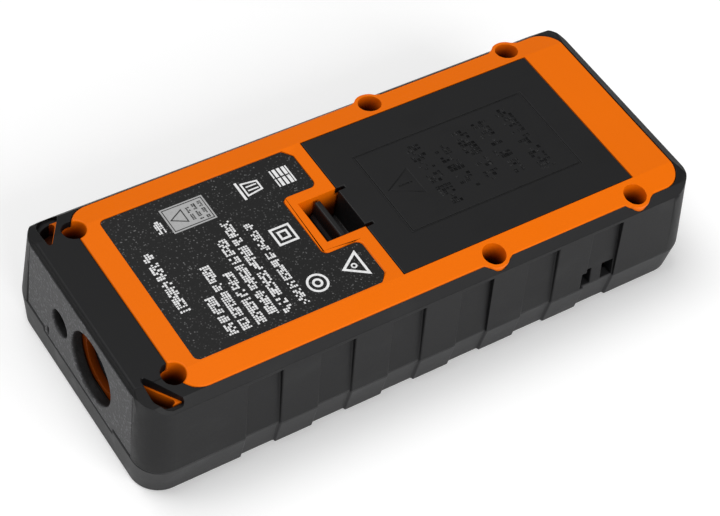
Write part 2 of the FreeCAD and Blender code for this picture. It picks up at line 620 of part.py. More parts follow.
def rear_housing():
    body = new_body("rear_housing")
    gap = "part_gap"
    tub = sketch_on(body, "tub", "XY_Plane", "tub_floor")
    add_rectangle(tub, "-panel_half + " + gap, "panel_half - " + gap, "tub_nose + " + gap,
                  "tub_base - " + gap, "panel_radius - 1")
    pad(body, tub, "tub_top - part_gap - tub_floor")
    panel = sketch_on(body, "panel", "XY_Plane", "tub_top - 1")
    add_rectangle(panel, "-panel_half + " + gap, "panel_half - " + gap, "panel_nose + " + gap,
                  "panel_base - " + gap, "panel_radius")
    pad(body, panel, "body_height - tub_top + 1")
    shoulders = sketch_on(body, "ear_shoulders", "XY_Plane", "ear_floor + part_gap")
    rims = sketch_on(body, "ear_rims", "XY_Plane", "ear_floor + part_gap")
    for x, y in side_screw_places():
        ear_outline(shoulders, "-" if x.startswith("-") else "", y, "0")
        add_circle(rims, x, y, "ear_radius")
    pad(body, shoulders, "ear_thickness - part_gap")
    pad(body, rims, "ear_thickness - part_gap")
    side_bosses = sketch_on(body, "side_bosses", "XY_Plane", "tub_floor")
    for x, y in side_screw_places():
        add_circle(side_bosses, x, y, "boss_radius")
    pad(body, side_bosses, "ear_floor + 0.5 - tub_floor")

    wall = "housing_wall + part_gap"
    hollow = sketch_on(body, "hollow", "XY_Plane", "tub_floor")
    add_rectangle(hollow, "-panel_half + " + wall, "panel_half - (%s)" % wall, "panel_nose + housing_wall",
                  "tub_base - (%s)" % wall, "panel_radius - 2")
    pocket(body, hollow, "panel_under - tub_floor", towards_normal=True)
    nose_hollow = sketch_on(body, "nose_hollow", "XY_Plane", "tub_floor")
    add_rectangle(nose_hollow, "-panel_half + " + wall, "panel_half - (%s)" % wall, "tub_nose + " + wall,
                  "panel_nose + housing_wall + 3", "panel_radius - 2")
    pocket(body, nose_hollow, "nose_under - tub_floor", towards_normal=True)

    bosses = sketch_on(body, "bosses", "XY_Plane", "tub_floor")
    for x, y in screw_places():
        add_circle(bosses, x, y, "boss_radius - 0.001")
    pad(body, bosses, "tub_top - part_gap - tub_floor")
    cups = sketch_on(body, "window_cups", "XY_Plane", "nose_under - 2.6")
    for side in ("", "-"):
        outer = side + "(panel_half - part_gap - 0.5)"
        inner = side + "(window_inner_x - 2.4)"
        low = "tub_nose + part_gap + 0.5"
        high = "nose + window_nose_margin + window_length + 1"
        add_outline(cups, [(inner, low), (outer, low, "panel_radius - 1.6"), (outer, high), (inner, high)])
    pad(body, cups, "3")
    block = sketch_on(body, "bay_block", "XY_Plane", "bay_under")
    bay_side = "bay_half + bay_wall + 0.2"
    add_rectangle(block, "-(%s)" % bay_side, bay_side, "bay_nose - bay_wall", "bay_base + bay_wall + 0.9")
    pad(body, block, "panel_under + 0.3 - bay_under")
    pit_block = sketch_on(body, "pit_block", "XY_Plane", "pit_floor - bay_wall")
    pit_side = "recess_half + bay_wall"
    add_rectangle(pit_block, "-(%s)" % pit_side, pit_side, "pit_nose - bay_wall", "bay_nose")
    pad(body, pit_block, "panel_under + 0.3 - pit_floor + bay_wall")

    cut_crown(body, "0")
    seat = sketch_on(body, "cover_seat", "XY_Plane", "body_height")
    side = "cover_half + seat_gap"
    add_rectangle(seat, "-(%s)" % side, side, "cover_nose - seat_gap", "cover_base + seat_gap")
    pocket(body, seat, "body_height - seat_floor")
    bay = sketch_on(body, "bay", "XY_Plane", "body_height")
    add_rectangle(bay, "-bay_half", "bay_half", "bay_nose", "bay_base", "0.8")
    pocket(body, bay, "body_height - bay_floor")
    pit = sketch_on(body, "pit", "YZ_Plane")
    over = "body_height + 0.5"
    add_outline(pit, [
        ("cover_nose - recess_reach", over), ("cover_nose - recess_reach", "body_height - 0.4"),
        ("pit_nose", "body_height - slope_depth"), ("pit_nose", "pit_floor"), ("pit_base", "pit_floor"),
        ("pit_base", over),
    ])
    pocket(body, pit, "recess_half * 2", both_ways=True)
    tab_slots = sketch_on(body, "tab_slots", "XY_Plane", "seat_floor + 0.01")
    for near, far in (("hinge_tab_inner - 0.3", "hinge_tab_outer + 0.3"),
                      ("-hinge_tab_outer - 0.3", "-hinge_tab_inner + 0.3")):
        add_rectangle(tab_slots, near, far, "bay_base - 1", "cover_base + hinge_tab_reach + 0.4")
    pocket(body, tab_slots, "2.2")

    label = sketch_on(body, "label_pocket", "XY_Plane", "body_height")
    label_outline(label, "0")
    pocket(body, label, "label_depth")
    wells = sketch_on(body, "wells", "XY_Plane", "body_height + 0.5")
    for x, y in screw_places():
        add_circle(wells, x, y, "well_radius")
    pocket(body, wells, "well_depth + 0.5")
    shanks = sketch_on(body, "shank_holes", "XY_Plane", "body_height - well_depth")
    for x, y in screw_places():
        add_circle(shanks, x, y, "screw_radius + shank_gap")
    pocket(body, shanks, "body_height - well_depth - tub_floor + 0.1")
    cup_pockets = sketch_on(body, "window_pockets", "XY_Plane", "tub_top")
    for side in ("", "-"):
        corner_window_outline(cup_pockets, side, "0 - window_gap")
    pocket(body, cup_pockets, "tub_top - body_height + window_depth")

    nose_holes = sketch_on(body, "nose_holes", "XZ_Plane", "-tub_nose")
    add_circle(nose_holes, "lens_x", "lens_z", "ring_radius")
    add_circle(nose_holes, "-laser_x", "laser_z", "laser_radius + 0.3")
    pocket(body, nose_holes, wall + " + 0.2")
    chamber = sketch_on(body, "lanyard_chamber", "XY_Plane", "tub_floor")
    add_rectangle(chamber, "panel_half - housing_wall - 3", "panel_half + 1", "base - slot_near - slot_width",
                  "base - slot_near + slot_bar + slot_width")
    pocket(body, chamber, "slot_height - 0.3", towards_normal=True)


def nose_plate():
    body = new_body("nose_plate")
    face = sketch_on(body, "face", "XZ_Plane", "-plate_face")
    add_outline(face, [
        ("-plate_foot_half", "seam_height + part_gap"),
        ("-tab_half", "seam_height + part_gap"), ("-tab_half", "seam_height - tab_depth"),
        ("tab_half", "seam_height - tab_depth"), ("tab_half", "seam_height + part_gap"),
        ("plate_foot_half", "seam_height + part_gap"),
        ("plate_top_half", "plate_top"), ("-plate_top_half", "plate_top"),
    ])
    pad(body, face, "plate_thickness", towards_normal=False)
    holes = sketch_on(body, "holes", "XZ_Plane", "-plate_face")
    add_circle(holes, "lens_x", "lens_z", "lens_radius")
    add_circle(holes, "-laser_x", "laser_z", "laser_radius")
    pocket(body, holes, "plate_thickness + 0.1")
    slit = sketch_on(body, "slit", "XZ_Plane", "-plate_face")
    add_rectangle(slit, "-slit_from_middle - slit_width / 2", "-slit_from_middle + slit_width / 2",
                  "seam_height - tab_depth + 0.4", "seam_height - tab_depth + 0.4 + slit_height")
    pocket(body, slit, "plate_thickness * 0.6")


def battery_cover():
    body = new_body("battery_cover")
    plate = sketch_on(body, "plate", "XY_Plane", "cover_under")
    add_rectangle(plate, "-cover_half", "cover_half", "cover_nose", "cover_base")
    pad(body, plate, "cover_thickness")
    slits = sketch_on(body, "slits", "XY_Plane", "body_height")
    for side in ("", "-"):
        middle = side + "(latch_half + slit_half_gap)"
        add_rectangle(slits, middle + " - slit_half_gap", middle + " + slit_half_gap", "cover_nose - 1",
                      "cover_nose + slit_length")
    pocket(body, slits, "cover_thickness + 0.1")
    bend = sketch_on(body, "u_spring", "YZ_Plane")
    web_low = "(knuckle_z - knuckle_radius)"
    leg_base = "(cover_nose + 1.1)"
    seat_side = "(knuckle_y + knuckle_radius + running_gap + 0.2)"
    add_outline(bend, [
        ("cover_nose", "cover_under + 0.2"), ("cover_nose", web_low + " + 1.4"),
        (seat_side, web_low + " + 1.4"), (seat_side, web_low), (leg_base, web_low),
        (leg_base, "cover_under + 0.2"),
    ])
    pad(body, bend, "latch_half * 2 - 0.4", both_ways=True)
    tabs = sketch_on(body, "hinge_tabs", "YZ_Plane")
    low = "(cover_under - 0.3 - hinge_tab_thickness)"
    add_outline(tabs, [
        ("cover_base - 1.7", low), ("cover_base + hinge_tab_reach", low),
        ("cover_base + hinge_tab_reach", low + " + hinge_tab_thickness"),
        ("cover_base - 0.9", low + " + hinge_tab_thickness"), ("cover_base - 0.9", "cover_under + 0.2"),
        ("cover_base - 1.7", "cover_under + 0.2"),
    ])
    pad(body, tabs, "hinge_tab_outer * 2", both_ways=True)
    between = sketch_on(body, "between_tabs", "XY_Plane", "cover_under")
    add_rectangle(between, "-hinge_tab_inner", "hinge_tab_inner", "cover_base - 3", "cover_base + 3")
    pocket(body, between, "3")
    cut_cover_marks(body)


def cut_cover_marks(body):
    """A thin sunk frame line round the middle of the cover."""
    marks = sketch_on(body, "frame_line", "XY_Plane", "body_height")
    low = "(cover_nose + frame_nose)"
    high = "(%s + frame_length)" % low
    add_rectangle(marks, "-frame_half", "frame_half", low, high)
    add_rectangle(marks, "-frame_half + line_width", "frame_half - line_width", low + " + line_width",
                  high + " - line_width")
    pocket(body, marks, "line_depth")


def battery_latch():
    body = new_body("battery_latch")
    side = sketch_on(body, "leg", "YZ_Plane")
    root = "(knuckle_y + latch_thickness / 2)"
    add_outline(side, [
        ("latch_tip", "knuckle_z"), (root, "knuckle_z"), (root, "latch_top", "0.4"),
        ("latch_tip", "latch_top", "0.4"), ("latch_tip", "knuckle_z + 3.2"),
        ("latch_tip - 0.6", "knuckle_z + 2.6"), ("latch_tip - 0.6", "knuckle_z + 2.0"),
        ("latch_tip", "knuckle_z + 1.6"),
    ])
    pad(body, side, "latch_half * 2", both_ways=True)
    knuckle = sketch_on(body, "knuckle", "YZ_Plane")
    add_circle(knuckle, "knuckle_y", "knuckle_z", "knuckle_radius")
    pad(body, knuckle, "latch_half * 2", both_ways=True)


def rating_label():
    body = new_body("rating_label")
    film = sketch_on(body, "film", "XY_Plane", "body_height - label_depth")
    label_outline(film, "part_gap")
    pad(body, film, "label_thickness")


def case_screws():
    screws = []
    for index, (x, y) in enumerate(screw_places()):
        seat = "body_height - well_depth"
        foot = "seam_height + 0.2 - screw_engagement"
        head = rod("screw_head_%d" % index, x, y, seat, "screw_head_radius", "screw_head_height")
        shank = rod("screw_shank_%d" % index, x, y, foot, "screw_radius", "%s - (%s) + 0.1" % (seat, foot))
        drive_seat = seat + " + screw_head_height - drive_depth"
        drive = rod("screw_drive_%d" % index, x, y, drive_seat, "drive_radius", "drive_depth + 0.3")
        screws.append(cut("screw_%d" % index, fuse("screw_blank_%d" % index, [head, shank]), [drive]))
    group("case_screws", screws)


# ---- display, keys and board --------------------------------------------------------------------

def key_places():
    """Each key's name, x, y and cap radius."""
    middle = "(base - key_first_row)"
    places = [("measure_key", "0", middle, "measure_radius")]
    for name, column, row in SMALL_KEYS:
        x = "key_column_pitch * %s" % column
        places.append((name, "(%s)" % x, "(%s + key_row_pitch * %s)" % (middle, row + 0.35), "key_radius"))
    return places


def keys():
    for name, x, y, radius in key_places():
        face = "rim_depth - key_rise"
        cap = rod(name + "_cap", x, y, face, radius, "key_back + key_flange_thickness - (%s)" % face)
        flange = rod(name + "_flange", x, y, "key_back", radius + " + key_flange", "key_flange_thickness")
        stem = rod(name + "_stem", x, y, "key_back", "key_stem_radius", "stem_top - key_back")
        keep(fuse(name, [cap, flange, stem]), name)


def keypad_mat():
    low_y = "(base - key_first_row) - measure_radius - 2"
    high_y = "(base - key_first_row) + key_row_pitch * 2.95 + key_radius + 2.2"
    sheet_block = box("mat_blank", ("-board_half + 0.5", "board_half - 0.5"), (low_y, high_y),
                      ("mat_under", "mat_under + mat_thickness"))
    holes = [rod("mat_hole_" + name, x, y, "mat_under - 1", "key_stem_radius + key_gap", "mat_thickness + 2")
             for name, x, y, radius in key_places()]
    keep(cut("keypad_mat", sheet_block, holes), "keypad_mat")


def key_domes():
    domes = [rod("dome_" + name, x, y, "dome_under", "dome_radius * 0.6", "dome_height",
                 end_radius="dome_radius") for name, x, y, radius in key_places()]
    group("key_domes", domes)


def display():
    gap = "part_gap"
    pane_y = ("display_nose + " + gap, "display_base - " + gap)
    keep(box("display_window", ("-display_half + " + gap, "display_half - " + gap), pane_y,
             ("rim_depth", "window_top")), "display_window")
    x_range = ("-display_half + window_ledge + display_gap", "display_half - window_ledge - display_gap")
    y_range = ("display_nose + window_ledge + display_gap", "display_base - window_ledge - display_gap")
    glass_low = "(window_top + display_gap)"
    glass_high = "(%s + glass_thickness)" % glass_low
    keep(box("lcd_glass", x_range, y_range, (glass_low, glass_high)), "lcd_glass")
    keep(box("backlight", x_range, y_range, (glass_high, glass_high + " + backlight_thickness")), "backlight")
    strips = []
    for index, y in enumerate((y_range[0], "(%s) - strip_width" % y_range[1])):
        strips.append(box("contact_strip_%d" % index, x_range, (y, "(%s) + strip_width" % y),
                          (glass_high + " + backlight_thickness", "board_under")))
    group("display_contact_strips", strips)


def main_board():
    x_range = ("-board_half", "board_half")
    blank = box("board_blank", x_range, ("board_nose", "board_base"), ("board_under", "board_top"))
    holes = [rod("board_hole_%d" % index, x, y, "board_under - 1", "board_hole_radius",
                 "board_thickness + 2")
             for index, (x, y) in enumerate(board_screw_places())]
    keep(cut("main_board", blank, holes), "main_board")
    screws = []
    for index, (x, y) in enumerate(board_screw_places()):
        head = rod("board_screw_head_%d" % index, x, y, "board_top", "board_screw_head_radius",
                   "board_screw_head_height")
        shank = rod("board_screw_shank_%d" % index, x, y, "board_under - 1.8", "board_screw_radius",
                    "board_thickness + 1.9")
        screws.append(fuse("board_screw_%d" % index, [head, shank]))
    group("board_screws", screws)


def board_screw_places():
    nose_y = "(board_nose + board_screw_inset)"
    base_y = "(board_base - board_screw_inset)"
    across = "(board_half - board_screw_inset)"
    return [(side + across, y) for y in (nose_y, base_y) for side in ("-", "")]


def board_parts():
    top = "board_top"
    middle = "(display_base - 4)"
    keep(box("processor", ("-processor_width / 2", "processor_width / 2"),
             (middle, middle + " + processor_width"), (top, top + " + processor_height")), "processor")
    chip_y = middle + " - 9.5"
    keep(box("ranging_chip", ("7", "7 + ranging_chip_width"), (chip_y, chip_y + " + ranging_chip_width"),
             (top, top + " + ranging_chip_height")), "ranging_chip")
    keep(rod("buzzer", "-11", middle + " + 5", top, "buzzer_radius", "buzzer_height"), "buzzer")
    coils = [rod("coil_%d" % index, x, middle + " + 3", top, "coil_radius", "coil_height")
             for index, x in enumerate(("9", "14"))]
    group("converter_coils", coils)
    cans = [rod("crystal_%d" % index, x, middle + " - 8", top, "crystal_radius", "crystal_height")
            for index, x in enumerate(("-13", "-9"))]
    group("timing_crystals", cans)


# ---- optics -------------------------------------------------------------------------------------

def optics():
    start = "optics_nose"
    outer = rod("lens_tube_blank", "lens_x", start, "lens_z", "tube_radius", "tube_length", "y")
    laser_outer = rod("laser_tube_blank", "-laser_x", start, "laser_z", "laser_tube_radius",
                      "laser_tube_length", "y")
    web = box("optics_web", ("-laser_x", "lens_x"), (start, start + " + laser_tube_length"),
              ("laser_z - 2", "laser_z + 2"))
    rear_wall = rod("lens_tube_wall", "lens_x", start + " + tube_length - tube_end_wall", "lens_z",
                    "tube_radius", "tube_end_wall", "y")
    bores = [
        rod("lens_bore", "lens_x", start + " - 1", "lens_z", "lens_glass_radius + screw_gap",
            "tube_length - tube_end_wall + 1", "y"),
        rod("laser_bore", "-laser_x", start + " - 1", "laser_z", "barrel_radius + screw_gap",
            "laser_tube_length + 2", "y"),
        rod("detector_hole", "lens_x", start + " + tube_length - 2", "lens_z", "detector_hole_radius", "3",
            "y"),
    ]
    keep(cut("optics_bracket", fuse("optics_blank", [outer, laser_outer, web, rear_wall]), bores),
         "optics_bracket")
    lens_y = "(%s + 1.2)" % start
    lens_blank = rod("lens_edge", "lens_x", lens_y, "lens_z", "lens_glass_radius", "lens_glass_thickness",
                     "y")
    dome = doc.addObject("Part::Sphere", "lens_dome")
    dome.setExpression("Radius", bound("lens_glass_radius * 1.9"))
    place(dome, "lens_x", lens_y + " + lens_glass_radius * 1.9", "lens_z")
    lens = doc.addObject("Part::Common", "receiver_lens")
    lens.Base = lens_blank
    lens.Tool = dome
    keep(lens, "receiver_lens")
    barrel = rod("barrel_blank", "-laser_x", start + " + 0.8", "laser_z", "barrel_radius",
                 "barrel_length", "y")
    barrel_bore = rod("barrel_bore", "-laser_x", start + " - 1", "laser_z", "barrel_bore_radius",
                      "barrel_length - 2", "y")
    keep(cut("laser_barrel", barrel, [barrel_bore]), "laser_barrel")
    keep(rod("collimator_lens", "-laser_x", start + " + 2.2", "laser_z", "collimator_radius",
             "collimator_thickness", "y"), "collimator_lens")
    back = "(%s + tube_length)" % start
    board_nose_y = back + " + 0.6"
    board_base_y = board_nose_y + " + sensor_board_thickness"
    board = box("sensor_board_blank", ("lens_x - 6", "lens_x + 8"), (board_nose_y, board_base_y),
                ("board_top + 0.2", "lens_z + 5"))
    keep(board, "sensor_board")
    keep(rod("detector", "lens_x", board_nose_y + " - detector_length", "lens_z", "detector_radius",
             "detector_length", "y"), "detector")
    shield_y = (board_base_y, board_base_y + " + shield_thickness")
    keep(box("sensor_shield", ("lens_x - 5", "lens_x + 7"), shield_y, ("board_top + 0.6", "lens_z + 4")),
         "sensor_shield")
    keep(rod("laser_window", "-laser_x", "plate_back", "laser_z", "laser_radius + pane_lap",
             "pane_thickness", "y"),
         "laser_window")


# ---- power --------------------------------------------------------------------------------------

def battery_cells():
    for index, column in enumerate((-1, 0, 1)):
        x = "cell_pitch * %d" % column
        can_length = "(cell_length - nub_length)"
        can_y = "(bay_base - contact_thickness * 2 - 0.1 - cell_length)"
        nub_y = can_y + " + %s - 0.1" % can_length
        if index == 1:
            nub_y = "(bay_nose + contact_thickness * 2 + 0.1)"
            can_y = nub_y + " + nub_length"
        can = rod("cell_can_%d" % index, x, can_y, "cell_axis_z", "cell_radius", can_length, "y")
        nub = rod("cell_nub_%d" % index, x, nub_y, "cell_axis_z", "nub_radius", "nub_length + 0.1", "y")
        keep(fuse("battery_cell_%d" % (index + 1), [can, nub]), "battery_cell_%d" % (index + 1))


def battery_contacts():
    plates = {"nose_contacts": [], "base_contacts": []}
    springs = []
    for index, column in enumerate((-1, 0, 1)):
        x = "cell_pitch * %d" % column
        x_range = (x + " - contact_width / 2", x + " + contact_width / 2")
        z_range = ("cell_axis_z - contact_height / 2", "cell_axis_z + contact_height / 2")
        nose_range = ("bay_nose", "bay_nose + contact_thickness")
        base_range = ("bay_base - contact_thickness", "bay_base")
        plates["nose_contacts"].append(box("nose_contact_%d" % index, x_range, nose_range, z_range))
        plates["base_contacts"].append(box("base_contact_%d" % index, x_range, base_range, z_range))
        free = "bay_length - cell_length - contact_thickness * 4 - 0.2"
        if index == 1:
            springs.append(rod("spring_%d" % index, x, "bay_base - contact_thickness - (%s)" % free,
                               "cell_axis_z", "spring_radius * 0.6", free, "y", end_radius="spring_radius"))
        else:
            springs.append(rod("spring_%d" % index, x, "bay_nose + contact_thickness", "cell_axis_z",
                               "spring_radius", free, "y", end_radius="spring_radius * 0.6"))
    for label, pieces in plates.items():
        group(label, pieces)
    group("contact_springs", springs)


# ---- checks and output --------------------------------------------------------------------------

def check_everything():
    doc.recompute()
    failed = [thing.Name for thing in doc.Objects if "Invalid" in thing.State or "Error" in thing.State]
    if failed:
        raise RuntimeError("failed objects: " + ", ".join(failed))
    for node in nodes:
        shape = node.Shape
        if shape.isNull() or not shape.isValid() or not shape.Solids:
            raise RuntimeError("bad shape: " + node.Label)


def write_parts():
    os.makedirs("parts", exist_ok=True)
    for node in nodes:
        node.Shape.exportStep("parts/%s.step" % node.Label)
        print("%-24s %d solids %9.2f mm3" % (node.Label, len(node.Shape.Solids), node.Shape.Volume))


fill_sheet()
front_shell()
rear_bumper()
rear_housing()
nose_plate()
battery_cover()
battery_latch()
rating_label()
case_screws()
keys()
keypad_mat()
key_domes()
display()
main_board()
board_parts()
optics()
battery_cells()
battery_contacts()
check_everything()
write_parts()
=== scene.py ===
"""Visual model of a handheld laser distance meter that lies on its face.

Each piece is built round the meter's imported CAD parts, in their own frame.
"""

import enum
import logging
import math
from abc import ABC, abstractmethod
from dataclasses import dataclass, field
from typing import Any, Callable, Iterable, Optional, Sequence

import bmesh
import bpy
from mathutils import Matrix, Vector
from mathutils.bvhtree import BVHTree
from mathutils.kdtree import KDTree


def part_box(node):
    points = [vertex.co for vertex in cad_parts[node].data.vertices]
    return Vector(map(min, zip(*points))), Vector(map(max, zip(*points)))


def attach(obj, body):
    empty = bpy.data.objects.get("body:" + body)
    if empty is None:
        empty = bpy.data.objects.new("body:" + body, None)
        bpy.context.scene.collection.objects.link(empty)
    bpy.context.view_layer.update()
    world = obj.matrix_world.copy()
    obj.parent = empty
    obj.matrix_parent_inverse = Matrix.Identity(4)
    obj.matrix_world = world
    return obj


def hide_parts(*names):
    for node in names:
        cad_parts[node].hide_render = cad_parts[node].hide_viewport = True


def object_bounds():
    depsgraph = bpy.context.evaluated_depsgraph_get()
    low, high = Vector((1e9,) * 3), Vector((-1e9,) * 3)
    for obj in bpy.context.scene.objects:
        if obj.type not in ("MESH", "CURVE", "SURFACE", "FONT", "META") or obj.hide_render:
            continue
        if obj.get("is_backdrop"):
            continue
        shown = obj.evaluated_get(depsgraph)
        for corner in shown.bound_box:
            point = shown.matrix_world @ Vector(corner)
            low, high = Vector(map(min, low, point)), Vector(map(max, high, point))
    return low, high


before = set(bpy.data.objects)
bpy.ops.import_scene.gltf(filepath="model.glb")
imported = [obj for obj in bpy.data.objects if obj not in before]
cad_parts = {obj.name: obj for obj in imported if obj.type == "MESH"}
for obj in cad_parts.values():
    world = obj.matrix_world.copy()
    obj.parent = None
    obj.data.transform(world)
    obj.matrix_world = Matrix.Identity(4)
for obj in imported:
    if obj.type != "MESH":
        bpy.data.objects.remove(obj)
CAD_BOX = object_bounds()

MM = 0.001
SHARP_ANGLE = math.radians(28)
FLAT_ANGLE = math.radians(0.6)
SLACK = 1e-6
SAME_LEVEL = 1e-5
WELD = 0.04 * MM
ROUNDING_TRIES = 9
ROUNDING_STEP = 0.5 * MM
ROUNDING_REACH = 0.7 * MM
ROUNDING_KEPT = 0.55
ROUNDING_LEAST = 0.12
log = logging.getLogger("distance_meter")

Colour = tuple[float, float, float]
Point = tuple[float, float]


# ---------------------------------------------------------------- node graphs


class Wire:
    """A node's output that can stand in a sum: each operator adds a Math node."""

    def __init__(self, graph: "Graph", socket: bpy.types.NodeSocket) -> None:
        """Keeps the graph and the output socket."""
        self.graph = graph
        self.socket = socket

    def maths(self, operation: str, first: Any, second: Any = 0.0) -> "Wire":
        """Adds one Math node.

        Args:
            operation: the Math node's operation.
            first: a number or a wire.
            second: a number or a wire.

        Returns:
            The node's result.
        """
        return self.graph.wire("ShaderNodeMath", {"operation": operation}, {0: first, 1: second})

    def __add__(self, other: Any) -> "Wire":
        """Sum."""
        return self.maths("ADD", self, other)

    __radd__ = __add__

    def __sub__(self, other: Any) -> "Wire":
        """Difference."""
        return self.maths("SUBTRACT", self, other)

    def __rsub__(self, other: Any) -> "Wire":
        """Difference from a number."""
        return self.maths("SUBTRACT", other, self)

    def __mul__(self, other: Any) -> "Wire":
        """Product."""
        return self.maths("MULTIPLY", self, other)

    __rmul__ = __mul__

    def __truediv__(self, other: Any) -> "Wire":
        """Quotient."""
        return self.maths("DIVIDE", self, other)

    def __rtruediv__(self, other: Any) -> "Wire":
        """Quotient of a number by the wire."""
        return self.maths("DIVIDE", other, self)

    def __lt__(self, other: Any) -> "Wire":
        """1 where the wire is less."""
        return self.maths("LESS_THAN", self, other)

    def __gt__(self, other: Any) -> "Wire":
        """1 where the wire is more."""
        return self.maths("GREATER_THAN", self, other)

    def wrapped(self) -> "Wire":
        """The part after the point."""
        return self.maths("FRACT", self)

    def stepped(self) -> "Wire":
        """The whole number below."""
        return self.maths("FLOOR", self)

    def either(self, other: Any) -> "Wire":
        """The larger of the two."""
        return self.maths("MAXIMUM", self, other)

    def both(self, other: Any) -> "Wire":
        """The smaller of the two."""
        return self.maths("MINIMUM", self, other)

    def ramp(self, low: float, high: float) -> "Wire":
        """Rises smoothly from 0 at low to 1 at high.

        Args:
            low: where it is 0.
            high: where it is 1.

        Returns:
            The risen value.
        """
        return self.graph.wire(
            "ShaderNodeMapRange",
            {"interpolation_type": "SMOOTHSTEP"},
            {0: self, 1: low, 2: high, 3: 0.0, 4: 1.0},
        )


class Graph:
    """A node tree that is filled in by calls."""

    def __init__(self, tree: bpy.types.NodeTree) -> None:
        """Keeps the tree."""
        self.tree = tree

    def put(self, socket: bpy.types.NodeSocket, value: Any) -> None:
        """Links a wire to a socket, or sets the socket's own value."""
        if isinstance(value, Wire):
            self.tree.links.new(value.socket, socket)
        else:
            socket.default_value = value

    def node(
        self, kind: str, settings: Optional[dict] = None, values: Optional[dict] = None
    ) -> bpy.types.Node:
        """Adds a node.

        Args:
            kind: the node's type.
            settings: its settings, set first; "stops" are a ramp's places and colours.
            values: what each input holds or is linked to, by name or place.

        Returns:
            The node.
        """
        made = self.tree.nodes.new(kind)
        for name, setting in (settings or {}).items():
            if name != "stops":
                setattr(made, name, setting)
                continue
            elements = made.color_ramp.elements
            while len(elements) < len(setting):
                elements.new(1.0)
            for element, (place, colour) in zip(elements, setting):
                element.position = place
                element.color = (*colour, 1.0)
        for key, value in (values or {}).items():
            self.put(made.inputs[key], value)
        return made

    def wire(
        self,
        kind: str,
        settings: Optional[dict] = None,
        values: Optional[dict] = None,
        output: Any = 0,
    ) -> Wire:
        """Adds a node and returns one of its outputs, by name or place."""
        return Wire(self, self.node(kind, settings, values).outputs[output])


class Paint(Graph):
    """A material's node tree, with the patterns that finishes share."""

    def __init__(self, material: bpy.types.Material) -> None:
        """Empties the tree and adds one principled surface."""
        material.use_nodes = True
        super().__init__(material.node_tree)
        self.tree.nodes.clear()
        self.surface = self.node("ShaderNodeBsdfPrincipled")
        self.output = self.node("ShaderNodeOutputMaterial")
        self.tree.links.new(self.surface.outputs[0], self.output.inputs[0])
        self.place = self.wire("ShaderNodeTexCoord", output="Object")

    def set(self, name: str, value: Any) -> None:
        """Sets or links one of the surface's sockets."""
        self.put(self.surface.inputs[name], value)

    def turned(self, scale: Sequence[float], turn: Sequence[float] = (0, 0, 0)) -> Wire:
        """Object coordinates stretched and turned.

        Args:
            scale: the stretch along each axis.
            turn: the turn about each axis, in degrees.

        Returns:
            The new coordinates.
        """
        values = {"Vector": self.place, "Scale": scale, "Rotation": [math.radians(a) for a in turn]}
        return self.wire("ShaderNodeMapping", values=values)

    def noise(self, size: float, detail: float = 2.0, place: Optional[Wire] = None) -> Wire:
        """Soft noise from 0 to 1.

        Args:
            size: the size of its patches in metres.
            detail: how many finer layers it has.
            place: its coordinates, if not the object's own.

        Returns:
            The noise.
        """
        values = {"Vector": place or self.place, "Scale": 1 / size, "Detail": detail}
        return self.wire("ShaderNodeTexNoise", values=values)

    def cells(self, size: float, output: str = "Distance", feature: str = "F1") -> Wire:
        """A Voronoi pattern.

        Args:
            size: the size of a cell in metres.
            output: the output that is wanted.
            feature: what the node measures.

        Returns:
            The output.
        """
        values = {"Vector": self.place, "Scale": 1 / size}
        return self.wire("ShaderNodeTexVoronoi", {"feature": feature}, values, output)

    def mix(self, factor: Any, first: Any, second: Any) -> Wire:
        """A colour between two, given as colours or wires."""
        first, second = (c if isinstance(c, Wire) else (*c, 1.0) for c in (first, second))
        values = {0: factor, 6: first, 7: second}
        return self.wire("ShaderNodeMix", {"data_type": "RGBA"}, values, 2)

    def axes(self) -> tuple[Wire, Wire, Wire]:
        """The object's x, y and z, in metres."""
        split = self.node("ShaderNodeSeparateXYZ", values={0: self.place})
        return tuple(Wire(self, out) for out in split.outputs)

    def relief(self, height: Wire, depth: float, strength: float = 1.0) -> None:
        """Raises the surface by a height from 0 to 1.

        Args:
            height: the height.
            depth: what a height of 1 is in metres.
            strength: the share of it that shows.
        """
        values = {"Height": height, "Distance": depth, "Strength": strength}
        self.set("Normal", self.wire("ShaderNodeBump", values=values))


# ------------------------------------------------------------------- finishes


def shade(colour: Colour, factor: float) -> Colour:
    """A lighter or darker colour."""
    return tuple(min(1.0, channel * factor) for channel in colour)


@dataclass(frozen=True)
class Finish(ABC):
    """One finish of the meter: its name and main colour."""

    name: str
    colour: Colour

    def material(self) -> bpy.types.Material:
        """The finish's material, made once; its ending sets it apart from the frame's own."""
        name = self.name + "_finish"
        made = bpy.data.materials.get(name)
        if made is None:
            made = bpy.data.materials.new(name)
            self.paint(Paint(made))
        return made

    @abstractmethod
    def paint(self, paint: Paint) -> None:
        """Fills in the material's nodes."""


@dataclass(frozen=True)
class PaintedShade:
    """Painted shade: how a colour darkens along an axis, towards where less light gets in."""

    axis: int
    dark_end: float
    light_end: float
    share: float


